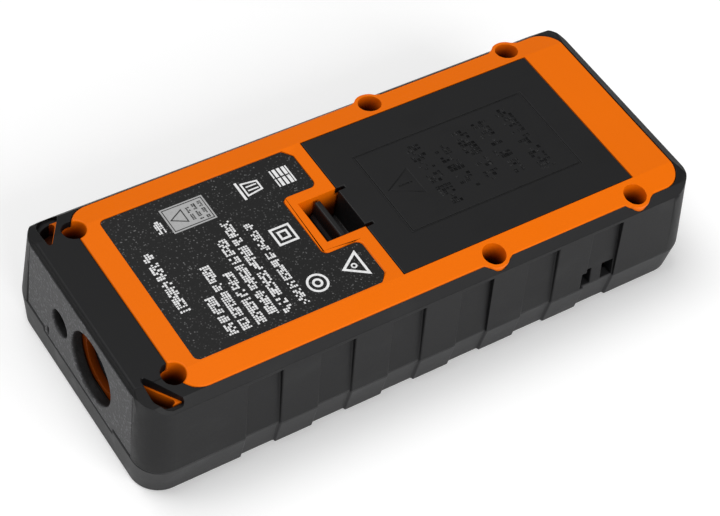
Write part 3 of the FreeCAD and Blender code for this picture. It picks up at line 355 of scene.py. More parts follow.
@dataclass(frozen=True)
class Moulded(Finish):
    """A moulded plastic or rubber: fine grain, slow drift in colour, smoother handled patches,
    painted shade.
    """

    roughness: float = 0.5
    grain: float = 0.22 * MM
    depth: float = 0.012 * MM
    drift: float = 0.12
    rub: float = 0.1
    specular: float = 0.4
    peak: float = 0.0
    painted_shades: tuple[PaintedShade, ...] = ()
    drift_size: float = 16 * MM
    rub_size: float = 5 * MM
    dark: float = 0.72
    light: float = 1.28
    pale: float = 2.6

    def paint(self, paint: Paint) -> None:
        """Grain in relief and roughness, drift in colour, and painted shade along each given axis.
        """
        slow = paint.noise(self.drift_size, 3.0)
        handled = paint.turned((1.0, 0.45, 1.0), (0, 0, 24))
        rubbed = paint.noise(self.rub_size, 4.0, handled).ramp(0.5, 0.72)
        fine = paint.noise(self.grain, 3.0)
        pits = paint.cells(self.grain * 2.2)
        lift = (fine.ramp(0.54, 0.66) * self.peak).both(1.0)
        tone = (slow - 0.5) * 2.2 * self.drift + 0.5 + (fine - 0.5) * self.drift * 1.6
        base = paint.mix(tone, shade(self.colour, self.dark), shade(self.colour, self.light))
        skin = paint.mix(lift, base, shade(self.colour, self.pale))
        # painted shade: each one darkens the colour towards its dark end
        for painted_shade in self.painted_shades:
            lit = paint.axes()[painted_shade.axis].ramp(painted_shade.dark_end, painted_shade.light_end)
            skin = paint.mix(lit, shade(self.colour, painted_shade.share), skin)
        paint.set("Base Color", skin)
        paint.set("Roughness", self.roughness + (fine - 0.5) * 0.16 - rubbed * self.rub)
        paint.set("Specular IOR Level", self.specular)
        paint.relief(fine * 0.7 + pits * 0.3, self.depth)


@dataclass(frozen=True)
class SpeckledFilm(Finish):
    """A dark printed film with fine light specks."""

    speck: Colour = (0.17, 0.17, 0.17)
    speck_size: float = 0.5 * MM
    cloud_size: float = 3.2 * MM

    def paint(self, paint: Paint) -> None:
        """Round specks, brighter and dimmer, over the dark ground, and a faint uneven relief."""
        spots = 1 - paint.cells(self.speck_size).ramp(0.12, 0.4)
        patches = paint.noise(self.speck_size * 1.3, 2.0).ramp(0.4, 0.66)
        cloud = paint.noise(self.cloud_size, 2.0).ramp(0.3, 0.75)
        specks = spots * patches * (cloud * 0.5 + 0.5)
        paint.set("Base Color", paint.mix(specks, self.colour, self.speck))
        paint.set("Roughness", 0.46 + specks * 0.16)
        paint.set("Specular IOR Level", 0.28)
        paint.relief(paint.noise(0.9 * MM, 2.0) + specks * 0.5, 0.006 * MM)


@dataclass(frozen=True)
class Ink(Finish):
    """Screen-printed ink: nearly even, thinner in small patches."""

    thin: float = 0.82
    roughness: float = 0.5
    patch: float = 0.5 * MM
    screen: float = 0.14 * MM

    def paint(self, paint: Paint) -> None:
        """Patches where the ink is thin, and the mesh of the screen in relief."""
        patchy = paint.noise(self.patch, 3.0).ramp(0.42, 0.75)
        paint.set("Base Color", paint.mix(patchy, self.colour, shade(self.colour, self.thin)))
        paint.set("Roughness", self.roughness + patchy * 0.12)
        paint.set("Specular IOR Level", 0.3)
        paint.relief(paint.cells(self.screen), 0.003 * MM)


@dataclass(frozen=True)
class Plated(Finish):
    """Plated or bare metal, with drawing marks along one axis and a few duller patches."""

    roughness: float = 0.28
    stretch: tuple[float, float, float] = (1.0, 0.06, 1.0)
    scratch: float = 0.12 * MM
    patch: float = 2.6 * MM
    dull: float = 0.74

    def paint(self, paint: Paint) -> None:
        """Streaks in roughness and relief, tarnish in colour."""
        streaks = paint.noise(self.scratch, 3.0, paint.turned(self.stretch))
        tarnish = paint.noise(self.patch, 4.0).ramp(0.45, 0.8)
        paint.set("Base Color", paint.mix(tarnish, self.colour, shade(self.colour, self.dull)))
        paint.set("Metallic", 1.0)
        paint.set("Roughness", self.roughness + (streaks - 0.5) * 0.2 + tarnish * 0.12)
        paint.relief(streaks, 0.004 * MM)


@dataclass(frozen=True)
class Clear(Finish):
    """A clear moulded or ground part, with faint smears, and a coating where it has one."""

    roughness: float = 0.02
    index: float = 1.49
    coat: float = 0.0
    smear: float = 1.8 * MM

    def paint(self, paint: Paint) -> None:
        """Clear body with smears in its roughness and a slow tint."""
        wiped = paint.turned((1.0, 0.4, 1.0), (0, 0, 33))
        smears = paint.noise(self.smear, 4.0, wiped).ramp(0.5, 0.85)
        slow = paint.noise(6 * MM, 1.0)
        paint.set("Base Color", paint.mix(slow, self.colour, shade(self.colour, 0.93)))
        paint.set("Transmission Weight", 1.0)
        paint.set("IOR", self.index)
        paint.set("Roughness", self.roughness + smears * 0.05)
        paint.set("Thin Film Thickness", self.coat)
        paint.relief(paint.noise(2.4 * MM, 1.0), 0.0008 * MM)


@dataclass(frozen=True)
class CircuitBoard(Finish):
    """Solder mask over copper tracks, with bare pads and drilled vias."""

    copper: Colour = (0.035, 0.26, 0.11)
    pad: Colour = (0.72, 0.5, 0.2)
    pitches: Point = (1.1 * MM, 1.3 * MM)
    widths: Point = (0.42, 0.38)
    via_pitch: float = 1.9 * MM

    def paint(self, paint: Paint) -> None:
        """Tracks in two directions, vias where cells have their middles."""
        x, y, _ = paint.axes()
        wander = paint.noise(4 * MM, 1.0) * 2.2
        along = (x / self.pitches[0] + (wander * 3).stepped()).wrapped()
        across = (y / self.pitches[1] + (wander * 2).stepped()).wrapped()
        zone = paint.noise(6 * MM, 0.0).ramp(0.49, 0.51)
        tracks = (along < self.widths[0]) * zone + (across < self.widths[1]) * (1 - zone)
        via = 1 - paint.cells(self.via_pitch).ramp(0.14, 0.17)
        mask = paint.mix(tracks * 0.8, self.colour, self.copper)
        paint.set("Base Color", paint.mix(via, mask, self.pad))
        paint.set("Metallic", via)
        paint.set("Roughness", 0.32 + paint.noise(0.6 * MM) * 0.1)
        paint.relief(tracks * 0.6 + via, 0.02 * MM)


@dataclass(frozen=True)
class Sleeve(Finish):
    """A cell's printed shrink sleeve; the mesh's tint says where the band and the metal are."""

    band: Colour = (0.78, 0.8, 0.78)
    metal: Colour = (0.62, 0.62, 0.6)

    def paint(self, paint: Paint) -> None:
        """Sleeve, band and metal by the tint, with small shrink wrinkles all over it."""
        tint = paint.wire("ShaderNodeAttribute", {"attribute_name": "tint"}, output="Fac")
        bare = tint.ramp(0.85, 0.9)
        banded = tint.ramp(0.4, 0.45) * (1 - bare)
        cloud = paint.noise(7 * MM, 2.0)
        sleeve = paint.mix(cloud, shade(self.colour, 0.85), shade(self.colour, 1.2))
        printed = paint.mix(banded, sleeve, self.band)
        paint.set("Base Color", paint.mix(bare, printed, self.metal))
        paint.set("Metallic", bare)
        paint.set("Roughness", 0.3 + paint.noise(0.8 * MM, 3.0) * 0.12)
        paint.relief(paint.noise(1.1 * MM, 2.0, paint.turned((1.0, 0.3, 1.0))), 0.01 * MM)


@dataclass(frozen=True)
class Layered(Finish):
    """A conductive rubber strip: thin dark layers between the coloured ones."""

    pitch: float = 0.36 * MM
    carbon: Colour = (0.03, 0.03, 0.035)

    def paint(self, paint: Paint) -> None:
        """Layers across the strip's length."""
        x, _, _ = paint.axes()
        dark = (x / self.pitch).wrapped().ramp(0.45, 0.55)
        paint.set("Base Color", paint.mix(dark, self.colour, self.carbon))
        paint.set("Roughness", 0.6 + dark * 0.1)
        paint.relief(dark, 0.01 * MM)


@dataclass(frozen=True)
class PaleFloor(Finish):
    """The studio's matt floor, lit a little from within so that it stays white."""

    glow: float = 0.16

    def paint(self, paint: Paint) -> None:
        """A nearly even pale tone."""
        slow = paint.noise(180 * MM, 2.0)
        paint.set("Base Color", paint.mix(slow, self.colour, shade(self.colour, 0.985)))
        paint.set("Roughness", 0.85 + slow * 0.05)
        paint.set("Specular IOR Level", 0.1)
        paint.set("Emission Color", (1.0, 1.0, 1.0, 1.0))
        paint.set("Emission Strength", self.glow)


BUMPER = Moulded(
    "bumper_satin", (0.0055, 0.0055, 0.006), 0.52, 0.3 * MM, 0.008 * MM, 0.1, 0.08, 0.24
)
SHELL = Moulded(
    "shell_texture", (0.017, 0.017, 0.018), 0.56, 0.26 * MM, 0.02 * MM, 0.16, 0.08, 0.36
)
# painted shade: the walls of the plate's holes darken behind its outer face
NOSE = Moulded(
    "nose_texture", (0.04, 0.04, 0.042), 0.6, 0.5 * MM, 0.12 * MM, 0.42, 0.02, 0.4, 1.0,
    (PaintedShade(1, -59.1 * MM, -59.7 * MM, 0.06),),
)
# painted shade: darker down the wells and recesses below 23.3 mm, and towards the nose wall
ORANGE = Moulded(
    "housing_orange", (0.905, 0.152, 0.0), 0.44, 0.3 * MM, 0.006 * MM, 0.05, 0.08, 0.1, 0.0,
    (PaintedShade(2, 18.6 * MM, 23.3 * MM, 0.05), PaintedShade(1, -57.5 * MM, -54.8 * MM, 0.22)),
)
COVER = Moulded("cover_satin", (0.0075, 0.0075, 0.008), 0.5, 0.3 * MM, 0.008 * MM, 0.1, 0.06, 0.28)
RUBBER = Moulded("key_rubber", (0.085, 0.085, 0.092), 0.66, 0.24 * MM, 0.01 * MM, 0.1, 0.1, 0.3)
MEASURE = Moulded("measure_rubber", (0.8, 0.14, 0.005), 0.62, 0.24 * MM, 0.01 * MM, 0.08, 0.1, 0.3)
EPOXY = Moulded("chip_epoxy", (0.018, 0.018, 0.02), 0.55, 0.1 * MM, 0.008 * MM, 0.1, 0.04, 0.4)
FERRITE = Moulded("ferrite", (0.06, 0.058, 0.06), 0.7, 0.14 * MM, 0.02 * MM, 0.25, 0.04, 0.4)
BRACKET = Moulded("optics_filled", (0.02, 0.02, 0.022), 0.75, 0.2 * MM, 0.02 * MM, 0.12, 0.02, 0.2)
DIFFUSER = Moulded(
    "backlight_diffuser", (0.8, 0.84, 0.86), 0.35, 0.4 * MM, 0.006 * MM, 0.04, 0.05, 0.5
)
DISPLAY = Moulded("display_glass", (0.33, 0.38, 0.31), 0.14, 0.5 * MM, 0.001 * MM, 0.03, 0.04, 0.6)
FILM = SpeckledFilm("label_film", (0.007, 0.007, 0.007))
WHITE_INK = Ink("white_ink", (0.82, 0.82, 0.82))
GREY_INK = Ink("grey_ink", (0.4, 0.4, 0.4), 0.9)
DARK_INK = Ink("dark_ink", (0.03, 0.03, 0.03), 1.4)
SEGMENT_INK = Ink("segment_black", (0.025, 0.03, 0.028), 1.3, 0.3)
SCREW = Plated("screw_zinc", (0.07, 0.07, 0.072), 0.4, (1.0, 1.0, 1.0))
SPRING = Plated("spring_wire", (0.72, 0.72, 0.74), 0.24, (1.0, 1.0, 1.0))
NICKEL = Plated("contact_nickel", (0.74, 0.71, 0.64), 0.3, (0.1, 1.0, 1.0))
CAN = Plated("pressed_can", (0.66, 0.66, 0.68), 0.34, (0.12, 1.0, 1.0))
BRASS = Plated("turned_brass", (0.74, 0.52, 0.2), 0.26, (1.0, 1.0, 1.0))
WINDOW = Clear("clear_window", (0.96, 0.97, 0.98))
PANE = Clear("laser_glass", (0.12, 0.1, 0.12))
LENS = Clear("coated_lens", (0.86, 0.8, 0.9), 0.01, 1.55, 320.0)
BOARD = CircuitBoard("circuit_board", (0.012, 0.12, 0.05))
CELL = Sleeve("cell_sleeve", (0.02, 0.15, 0.2))
STRIP = Layered("strip_layers", (0.5, 0.2, 0.24))
FLOOR = PaleFloor("studio_floor", (0.93, 0.93, 0.93))


# --------------------------------------------------------------- mesh helpers


def settle(
    piece: bpy.types.Object, body: str, slot: str, nodes: Iterable[str] = ()
) -> bpy.types.Object:
    """Puts a finished piece on its body and hides the CAD nodes that it stands for.

    Args:
        piece: the finished piece.
        body: the CAD body that it rides on.
        slot: the record's material slot; it is not used.
        nodes: the CAD nodes that it stands for.

    Returns:
        The piece.
    """
    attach(piece, body)
    nodes = tuple(nodes)
    if nodes:
        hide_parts(*nodes)
    log.info("%s: %d faces on %s", piece.name, len(piece.data.polygons), body)
    return piece


def linked(thing: bpy.types.Object) -> bpy.types.Object:
    """Puts an object in the scene."""
    bpy.context.scene.collection.objects.link(thing)
    return thing


def spare_object(name: str, mesh: bpy.types.Mesh) -> bpy.types.Object:
    """An object for a tree or a cut to read, which is removed with drop()."""
    return bpy.data.objects.new(name, mesh)


def drop(*spares: bpy.types.Object) -> None:
    """Removes objects that only fed a tree or a cut."""
    for spare in spares:
        bpy.data.objects.remove(spare)


def dress(node: str, finish: Finish) -> None:
    """Gives a CAD node that stays a better material."""
    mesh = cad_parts[node].data
    mesh.materials.clear()
    mesh.materials.append(finish.material())
    log.info("%s: kept, in %s", node, finish.name)


def as_object(name: str, mesh: bpy.types.Mesh, *finishes: Finish) -> bpy.types.Object:
    """A linked object at the origin.

    Args:
        name: the piece's name.
        mesh: its mesh, in place.
        finishes: its finishes, in the order of its material slots.

    Returns:
        The object.
    """
    piece = linked(bpy.data.objects.new(name, mesh))
    mesh.name = name
    mesh.materials.clear()
    for finish in finishes:
        mesh.materials.append(finish.material())
    return piece


def evaluated_mesh(piece: bpy.types.Object) -> bpy.types.Mesh:
    """A new mesh of what a piece's modifiers make."""
    graph = bpy.context.evaluated_depsgraph_get()
    return bpy.data.meshes.new_from_object(piece.evaluated_get(graph), depsgraph=graph)


def settled_mesh(piece: bpy.types.Object) -> None:
    """Turns a piece's modifiers into a plain mesh."""
    mesh = evaluated_mesh(piece)
    piece.modifiers.clear()
    piece.data = mesh
    mesh.name = piece.name


def cut_out(piece: bpy.types.Object, hole: bpy.types.Mesh) -> None:
    """Takes a shape out of a linked piece, which is left as a plain mesh."""
    cutter = linked(spare_object("cutter", hole))
    cut = piece.modifiers.new("cut", "BOOLEAN")
    cut.operation = "DIFFERENCE"
    cut.solver = "EXACT"
    cut.object = cutter
    settled_mesh(piece)
    drop(cutter)


def smooth(mesh: bpy.types.Mesh, angle: float) -> None:
    """Shades a mesh smooth, except over edges sharper than an angle in degrees."""
    mesh.shade_smooth()
    mesh.set_sharp_from_angle(angle=math.radians(angle))


def even_out(piece: bpy.types.Object, angle: float) -> None:
    """Shades a piece smooth with normals that its flat faces keep, and makes it a plain mesh."""
    smooth(piece.data, angle)
    even = piece.modifiers.new("even", "WEIGHTED_NORMAL")
    even.keep_sharp = True
    settled_mesh(piece)


def merged_copy(node: str) -> bmesh.types.BMesh:
    """A CAD node's mesh with its triangles joined and its flat faces whole."""
    shape = bmesh.new()
    shape.from_mesh(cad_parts[node].data)
    bmesh.ops.remove_doubles(shape, verts=shape.verts, dist=WELD)
    bmesh.ops.dissolve_limit(
        shape, angle_limit=FLAT_ANGLE, verts=shape.verts, edges=shape.edges
    )
    return shape


def held_in(point: Vector, low: Vector, high: Vector) -> Vector:
    """The nearest point of a box."""
    return Vector(min(max(point[i], low[i]), high[i]) for i in range(3))


def cramped(mesh: bpy.types.Mesh, low: Vector, high: Vector) -> list[Vector]:
    """Where a rounded mesh cuts through itself or leaves its box.

    Args:
        mesh: the mesh.
        low: the box's low corner.
        high: the box's high corner.

    Returns:
        Points in those places.
    """
    shape = bmesh.new()
    shape.from_mesh(mesh)
    bmesh.ops.triangulate(shape, faces=shape.faces)
    shape.faces.ensure_lookup_table()
    tree = BVHTree.FromBMesh(shape, epsilon=0.0)
    found = []
    for first, second in tree.overlap(tree):
        one, other = shape.faces[first], shape.faces[second]
        if first < second and not set(one.verts) & set(other.verts):
            small = min((one, other), key=lambda face: face.calc_area())
            found.append(small.calc_center_median())
    for vertex in shape.verts:
        if any(vertex.co[i] < low[i] - SLACK or vertex.co[i] > high[i] + SLACK for i in range(3)):
            found.append(held_in(vertex.co, low, high))
    shape.free()
    return found


def back_off(shape: bmesh.types.BMesh, shares: Any, places: Sequence[Vector]) -> None:
    """Halves the rounding of the edges near some places, and drops it where little is left.

    Args:
        shape: the unrounded shape.
        shares: its edges' layer of shares.
        places: where the rounding was too wide.
    """
    near = KDTree(len(places))
    for index, place in enumerate(places):
        near.insert(place, index)
    near.balance()
    for edge in shape.edges:
        if edge[shares] <= 0.0:
            continue
        start, end = (v.co for v in edge.verts)
        steps = max(1, int((end - start).length / ROUNDING_STEP))
        reach = min(near.find(start.lerp(end, i / steps))[2] for i in range(steps + 1))
        if reach < ROUNDING_REACH:
            edge[shares] = edge[shares] * ROUNDING_KEPT if edge[shares] > ROUNDING_LEAST else 0.0


def rounded_copy(
    node: str,
    name: str,
    finish: Finish,
    radius: float,
    segments: int = 2,
    weigh: Optional[Callable[[bmesh.types.BMEdge], float]] = None,
) -> bpy.types.Object:
    """A copy of a CAD node with its edges rounded, less where there is no room.

    Args:
        node: the CAD node.
        name: the piece's name.
        finish: its finish.
        radius: the radius of the widest rounding.
        segments: the faces across a rounding.
        weigh: gives each sharp edge its share of the radius; all have the whole of it if left out.

    Returns:
        The piece, as a plain mesh.
    """
    low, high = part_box(node)
    shape = merged_copy(node)
    shares = shape.edges.layers.float.new("bevel_weight_edge")
    for edge in shape.edges:
        if edge.is_manifold and edge.calc_face_angle(0.0) > SHARP_ANGLE:
            edge[shares] = weigh(edge) if weigh else 1.0
    piece = as_object(name, bpy.data.meshes.new(name), finish)
    bevel = piece.modifiers.new("rounding", "BEVEL")
    bevel.limit_method = "WEIGHT"
    bevel.width = radius
    bevel.segments = segments
    bevel.use_clamp_overlap = False
    bevel.miter_outer = "MITER_SHARP"
    bevel.loop_slide = False
    for _ in range(ROUNDING_TRIES):
        shape.to_mesh(piece.data)
        tried = evaluated_mesh(piece)
        places = cramped(tried, low, high)
        bpy.data.meshes.remove(tried)
        if not places:
            break
        back_off(shape, shares, places)
    log.info("%s: rounded, %d cramped places left", name, len(places))
    shape.free()
    even_out(piece, 30.0)
    for vertex in piece.data.vertices:
        vertex.co = held_in(vertex.co, low, high)
    return piece


def stand_in(
    node: str, name: str, finish: Finish, body: str, slot: str, radius: float, segments: int = 2,
    weigh: Optional[Callable[[bmesh.types.BMEdge], float]] = None,
) -> None:
    """Settles a rounded copy of a CAD node in the node's place.

    Args:
        node: the CAD node.
        name: the piece's name.
        finish: its finish.
        body: the CAD body that it rides on.
        slot: the record's material slot.
        radius: the radius of the widest rounding.
        segments: the faces across a rounding.
        weigh: gives each sharp edge its share of the radius.
    """
    settle(rounded_copy(node, name, finish, radius, segments, weigh), body, slot, [node])


def lathe(
    profile: Sequence[Point], steps: int = 40, tints: Optional[Sequence[float]] = None
) -> bmesh.types.BMesh:
    """A closed shape turned about Z.

    Args:
        profile: points of radius and height, from the axis below to the axis above.
        steps: the faces round it.
        tints: one value for each point, kept as the vertex attribute "tint".

    Returns:
        The shape, with its poles closed.
    """
    shape = bmesh.new()
    tint = shape.verts.layers.float.new("tint")
    rings = []
    for index, (radius, height) in enumerate(profile):
        count = 1 if radius < SLACK else steps
        ring = []
        for step in range(count):
            angle = 2 * math.pi * step / steps
            vertex = shape.verts.new((radius * math.cos(angle), radius * math.sin(angle), height))
            vertex[tint] = tints[index] if tints else 0.0
            ring.append(vertex)
        rings.append(ring)
    for low, high in zip(rings, rings[1:]):
        for step in range(steps):
            corners = [
                low[step % len(low)],
                low[(step + 1) % len(low)],
                high[(step + 1) % len(high)],
                high[step % len(high)],
            ]
            shape.faces.new(list(dict.fromkeys(corners)))
    bmesh.ops.recalc_face_normals(shape, faces=shape.faces)
    return shape


def arc(centre: Point, radius: float, start: float, end: float, steps: int = 5) -> list[Point]:
    """Points along an arc.

    Args:
        centre: its centre.
        radius: its radius.
        start: its first angle in degrees.
        end: its last angle in degrees.
        steps: the runs that it is divided into.

    Returns:
        The points.
    """
    angles = [math.radians(start + (end - start) * i / steps) for i in range(steps + 1)]
    return [(centre[0] + radius * math.cos(a), centre[1] + radius * math.sin(a)) for a in angles]


def oblong(half_x: float, half_y: float, x: float = 0.0, y: float = 0.0) -> list[Point]:
    """A rectangle's corners about a point, anticlockwise."""
    ways = ((-1, -1), (1, -1), (1, 1), (-1, 1))
    return [(x + across * half_x, y + up * half_y) for across, up in ways]


def triangle(half: float, foot: float, top: float) -> list[Point]:
    """The corners of a triangle that stands on its base, anticlockwise."""
    return [(-half, foot), (half, foot), (0.0, top)]


def cross_shape(reach: float, half: float) -> list[Point]:
    """The corners of a plus, from the reach and the half width of its arms, anticlockwise."""
    return [
        (-reach, -half), (-half, -half), (-half, -reach), (half, -reach),
        (half, -half), (reach, -half), (reach, half), (half, half),
        (half, reach), (-half, reach), (-half, half), (-reach, half),
    ]


def facing(axis: Sequence[float], origin: Sequence[float]) -> Matrix:
    """A place whose Z points along an axis, and whose origin is given."""
    turn = Vector((0, 0, 1)).rotation_difference(Vector(axis))
    return Matrix.Translation(Vector(origin)) @ turn.to_matrix().to_4x4()


def into_mesh(
    shape: bmesh.types.BMesh, name: str, place: Optional[Matrix] = None
) -> bpy.types.Mesh:
    """Turns a shape into a mesh.

    Args:
        shape: the shape, which is freed.
        name: the mesh's name.
        place: where it goes.

    Returns:
        The mesh.
    """
    if place is not None:
        bmesh.ops.transform(shape, matrix=place, verts=shape.verts)
    mesh = bpy.data.meshes.new(name)
    shape.to_mesh(mesh)
    shape.free()
    return mesh


def joined(parts: Iterable[bpy.types.Mesh], name: str) -> bpy.types.Mesh:
    """Several meshes as one, with their finishes' numbers kept."""
    whole = bmesh.new()
    for part in parts:
        whole.from_mesh(part)
        bpy.data.meshes.remove(part)
    return into_mesh(whole, name)


def thing_box(node: str) -> tuple[Vector, Vector, Vector]:
    """A CAD node's low corner, high corner and middle."""
    low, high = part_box(node)
    return low, high, (low + high) / 2


# -------------------------------------------------------------- printed marks


@dataclass
class Stencil:
    """Flat marks of one thickness, drawn in millimetres as seen and laid on a face of the meter."""

    low: float
    high: float
    centre: Point = (0.0, 0.0)
    flip: tuple[int, int] = (-1, -1)
    shape: bmesh.types.BMesh = field(default_factory=bmesh.new)
    number: int = 0

    def place(self, point: Point, height: float) -> Vector:
        """Where a drawn point lies on the meter."""
        x = (self.centre[0] + self.flip[0] * point[0]) * MM
        y = (self.centre[1] + self.flip[1] * point[1]) * MM
        return Vector((x, y, height))

    def at(self, x: float, y: float) -> "Stencil":
        """Moves the drawing's middle to a place on the meter in millimetres."""
        self.centre = (x, y)
        return self

    def patch(self, outline: Sequence[Point]) -> None:
        """A filled closed outline."""
        lower = [self.shape.verts.new(self.place(p, self.low)) for p in outline]
        upper = [self.shape.verts.new(self.place(p, self.high)) for p in outline]
        faces = [self.shape.faces.new(lower), self.shape.faces.new(upper)]
        for i in range(len(outline)):
            j = (i + 1) % len(outline)
            faces.append(self.shape.faces.new((lower[i], lower[j], upper[j], upper[i])))
        for face in faces:
            face.material_index = self.number
        bmesh.ops.recalc_face_normals(self.shape, faces=faces)

    def bar(self, x: float, y: float, width: float, height: float) -> None:
        """A filled rectangle from its low corner."""
        self.patch([(x, y), (x + width, y), (x + width, y + height), (x, y + height)])

    def band(self, inner: Sequence[Point], outer: Sequence[Point], closed: bool = True) -> None:
        """A strip between two lines with the same number of points.

        Args:
            inner: one line.
            outer: the other.
            closed: whether it goes all the way round.
        """
        levels = ((inner, self.low), (outer, self.low), (outer, self.high), (inner, self.high))
        rings = [[self.shape.verts.new(self.place(p, h)) for p in line] for line, h in levels]
        count = len(inner)
        faces = []
        for i in range(count if closed else count - 1):
            j = (i + 1) % count
            for a, b in zip(rings, rings[1:] + rings[:1]):
                faces.append(self.shape.faces.new((a[i], a[j], b[j], b[i])))
        if not closed:
            faces.append(self.shape.faces.new([ring[0] for ring in rings]))
            faces.append(self.shape.faces.new([ring[-1] for ring in rings]))
        for face in faces:
            face.material_index = self.number
        bmesh.ops.recalc_face_normals(self.shape, faces=faces)

    def ring(self, radius: float, width: float, start: float = 0.0, end: float = 360.0) -> None:
        """A ring or part of one about the drawing's middle.

        Args:
            radius: the outer radius.
            width: the line's width.
            start: the first angle in degrees.
            end: the last angle in degrees.
        """
        closed = end - start >= 360.0
        steps = 36 if closed else 20
        lines = [arc((0, 0), r, start, end, steps) for r in (radius - width, radius)]
        if closed:
            lines = [line[:-1] for line in lines]
        self.band(lines[0], lines[1], closed)

    def frame_line(self, outline: Sequence[Point], width: float) -> None:
        """A closed line of even width inside a convex outline that runs anticlockwise."""
        inner = []
        count = len(outline)
        for i in range(count):
            before, here, after = (Vector(outline[(i + k) % count]) for k in (-1, 0, 1))
            first, second = (here - before).normalized(), (after - here).normalized()
            middle = Vector((-first.y - second.y, first.x + second.x)).normalized()
            reach = width / max(0.2, middle.dot(Vector((-first.y, first.x))))
            inner.append(tuple(here + middle * reach))
        self.band(inner, list(outline))

    def mesh(self, name: str) -> bpy.types.Mesh:
        """The marks as a mesh."""
        return into_mesh(self.shape, name)


# ------------------------------------------------------------- geometry nodes


class Builder(Graph):
    """A geometry tree with named inputs, which makes one plain mesh each time it is run."""

    def __init__(self, name: str) -> None:
        """Makes an empty tree with a geometry output."""
        super().__init__(bpy.data.node_groups.new(name, "GeometryNodeTree"))
        self.tree.interface.new_socket(
            "Geometry", in_out="OUTPUT", socket_type="NodeSocketGeometry"
        )
        self.sockets: dict[str, str] = {}
        self.entry = self.node("NodeGroupInput")
        self.exit = self.node("NodeGroupOutput")

    def input(self, name: str, kind: str, value: Any = None) -> Wire:
        """Adds a named input.

        Args:
            name: the input's name.
            kind: its type, such as Float.
            value: what it holds if it isn't set.

        Returns:
            The input.
        """
        kind = "NodeSocket" + kind
        socket = self.tree.interface.new_socket(name, in_out="INPUT", socket_type=kind)
        if value is not None:
            socket.default_value = value
        self.sockets[name] = socket.identifier
        return Wire(self, self.entry.outputs[name])

    def chance(self, seed: Any, low: Any, high: Any) -> Wire:
        """A random number or vector for each element.

        Args:
            seed: its seed.
            low: the least, as a number or a vector.
            high: the most, in the same form.

        Returns:
            The number or vector.
        """
        kind, first = ("FLOAT", 2) if isinstance(low, float) else ("FLOAT_VECTOR", 0)
        values = {first: low, first + 1: high, "Seed": seed}
        return self.wire("FunctionNodeRandomValue", {"data_type": kind}, values, first // 2)

    def grid(self, width: Any, depth: Any, columns: Wire, rows: Wire) -> Wire:
        """A grid of points about the origin."""
        values = {"Size X": width, "Size Y": depth, "Vertices X": columns, "Vertices Y": rows}
        return self.wire("GeometryNodeMeshGrid", values=values)

    def without(self, points: Wire, missing: Wire) -> Wire:
        """Points with some of them taken away."""
        values = {"Geometry": points, "Selection": missing}
        return self.wire("GeometryNodeDeleteGeometry", {"domain": "POINT"}, values)

    def copies(self, points: Wire, shape: Wire, **more: Wire) -> Wire:
        """A shape at each point, with its Scale or Rotation where given."""
        values = {"Points": points, "Instance": shape, **more}
        return self.wire("GeometryNodeInstanceOnPoints", values=values)

    def shape_of(self, thing: Wire) -> Wire:
        """An object's geometry."""
        return self.wire("GeometryNodeObjectInfo", values={"Object": thing}, output="Geometry")

    def close(self, shape: Wire) -> None:
        """Ends the tree: real geometry, in the material that the run is given."""
        finish = self.input("Finish", "Material")
        whole = self.wire("GeometryNodeRealizeInstances", values={0: shape})
        values = {"Geometry": whole, "Material": finish}
        painted = self.wire("GeometryNodeSetMaterial", values=values)
        self.put(self.exit.inputs[0], painted)

    def run(self, name: str, finish: Finish, **values: Any) -> bpy.types.Mesh:
        """Evaluates the tree.

        Args:
            name: the mesh's name.
            finish: the finish that it is given.
            values: the inputs, with _ for a space in their names.

        Returns:
            A plain mesh.
        """
        holder = linked(bpy.data.objects.new(name, bpy.data.meshes.new(name)))
        modifier = holder.modifiers.new(self.tree.name, "NODES")
        modifier.node_group = self.tree
        modifier[self.sockets["Finish"]] = finish.material()
        for key, value in values.items():
            modifier[self.sockets[key.replace("_", " ")]] = value
        mesh = evaluated_mesh(holder)
        holder.modifiers.clear()
        drop(holder)
        mesh.name = name
        return mesh


class TileRows(Builder):
    """Rows of small abstract tiles, in words with gaps, that stand for printed or moulded lines."""

    least: tuple[float, float, float] = (0.75, 0.8, 1.0)
    most: tuple[float, float, float] = (1.3, 1.15, 1.0)

    def __init__(self) -> None:
        """Builds the tree."""
        super().__init__("tile_rows")
        columns = self.input("Columns", "Int", 30)
        rows = self.input("Rows", "Int", 4)
        pitch = self.input("Pitch", "Float", 0.5 * MM)
        rise = self.input("Rise", "Float", 0.5 * MM)
        tile = self.input("Tile", "Vector")
        share = self.input("Share", "Float", 0.7)
        word = self.input("Word", "Float", 5 * MM)
        gap = self.input("Gap", "Float", 0.15)
        seed = self.input("Seed", "Int", 0)
        width = (columns - 1) * pitch
        grid = self.grid(width, (rows - 1) * rise, columns, rows)
        position = self.wire("GeometryNodeInputPosition")
        along = self.wire("ShaderNodeSeparateXYZ", values={0: position})
        missing = self.chance(seed, 0.0, 1.0) > share
        between = ((along + width / 2) / word).wrapped() < gap
        brick = self.wire("GeometryNodeMeshCube", values={"Size": tile})
        stretch = self.chance(seed + 7, self.least, self.most)
        self.close(self.copies(self.without(grid, missing.either(between)), brick, Scale=stretch))


class CoilSpring(Builder):
    """A conical compression spring of round wire that stands on Z."""

    steps: int = 26
    sides: int = 10

    def __init__(self) -> None:
        """Builds the tree."""
        super().__init__("coil_spring")
        turns = self.input("Turns", "Float", 3.0)
        foot = self.input("Foot Radius", "Float")
        tip = self.input("Tip Radius", "Float")
        height = self.input("Height", "Float")
        wire = self.input("Wire Radius", "Float")
        spiral = {
            "Resolution": self.steps, "Rotations": turns, "Start Radius": foot, "End Radius": tip,
            "Height": height,
        }
        circle = {"Resolution": self.sides, "Radius": wire}
        tube = {
            "Curve": self.wire("GeometryNodeCurveSpiral", values=spiral),
            "Profile Curve": self.wire("GeometryNodeCurvePrimitiveCircle", values=circle),
            "Fill Caps": True,
        }
        self.close(self.wire("GeometryNodeCurveToMesh", values=tube))


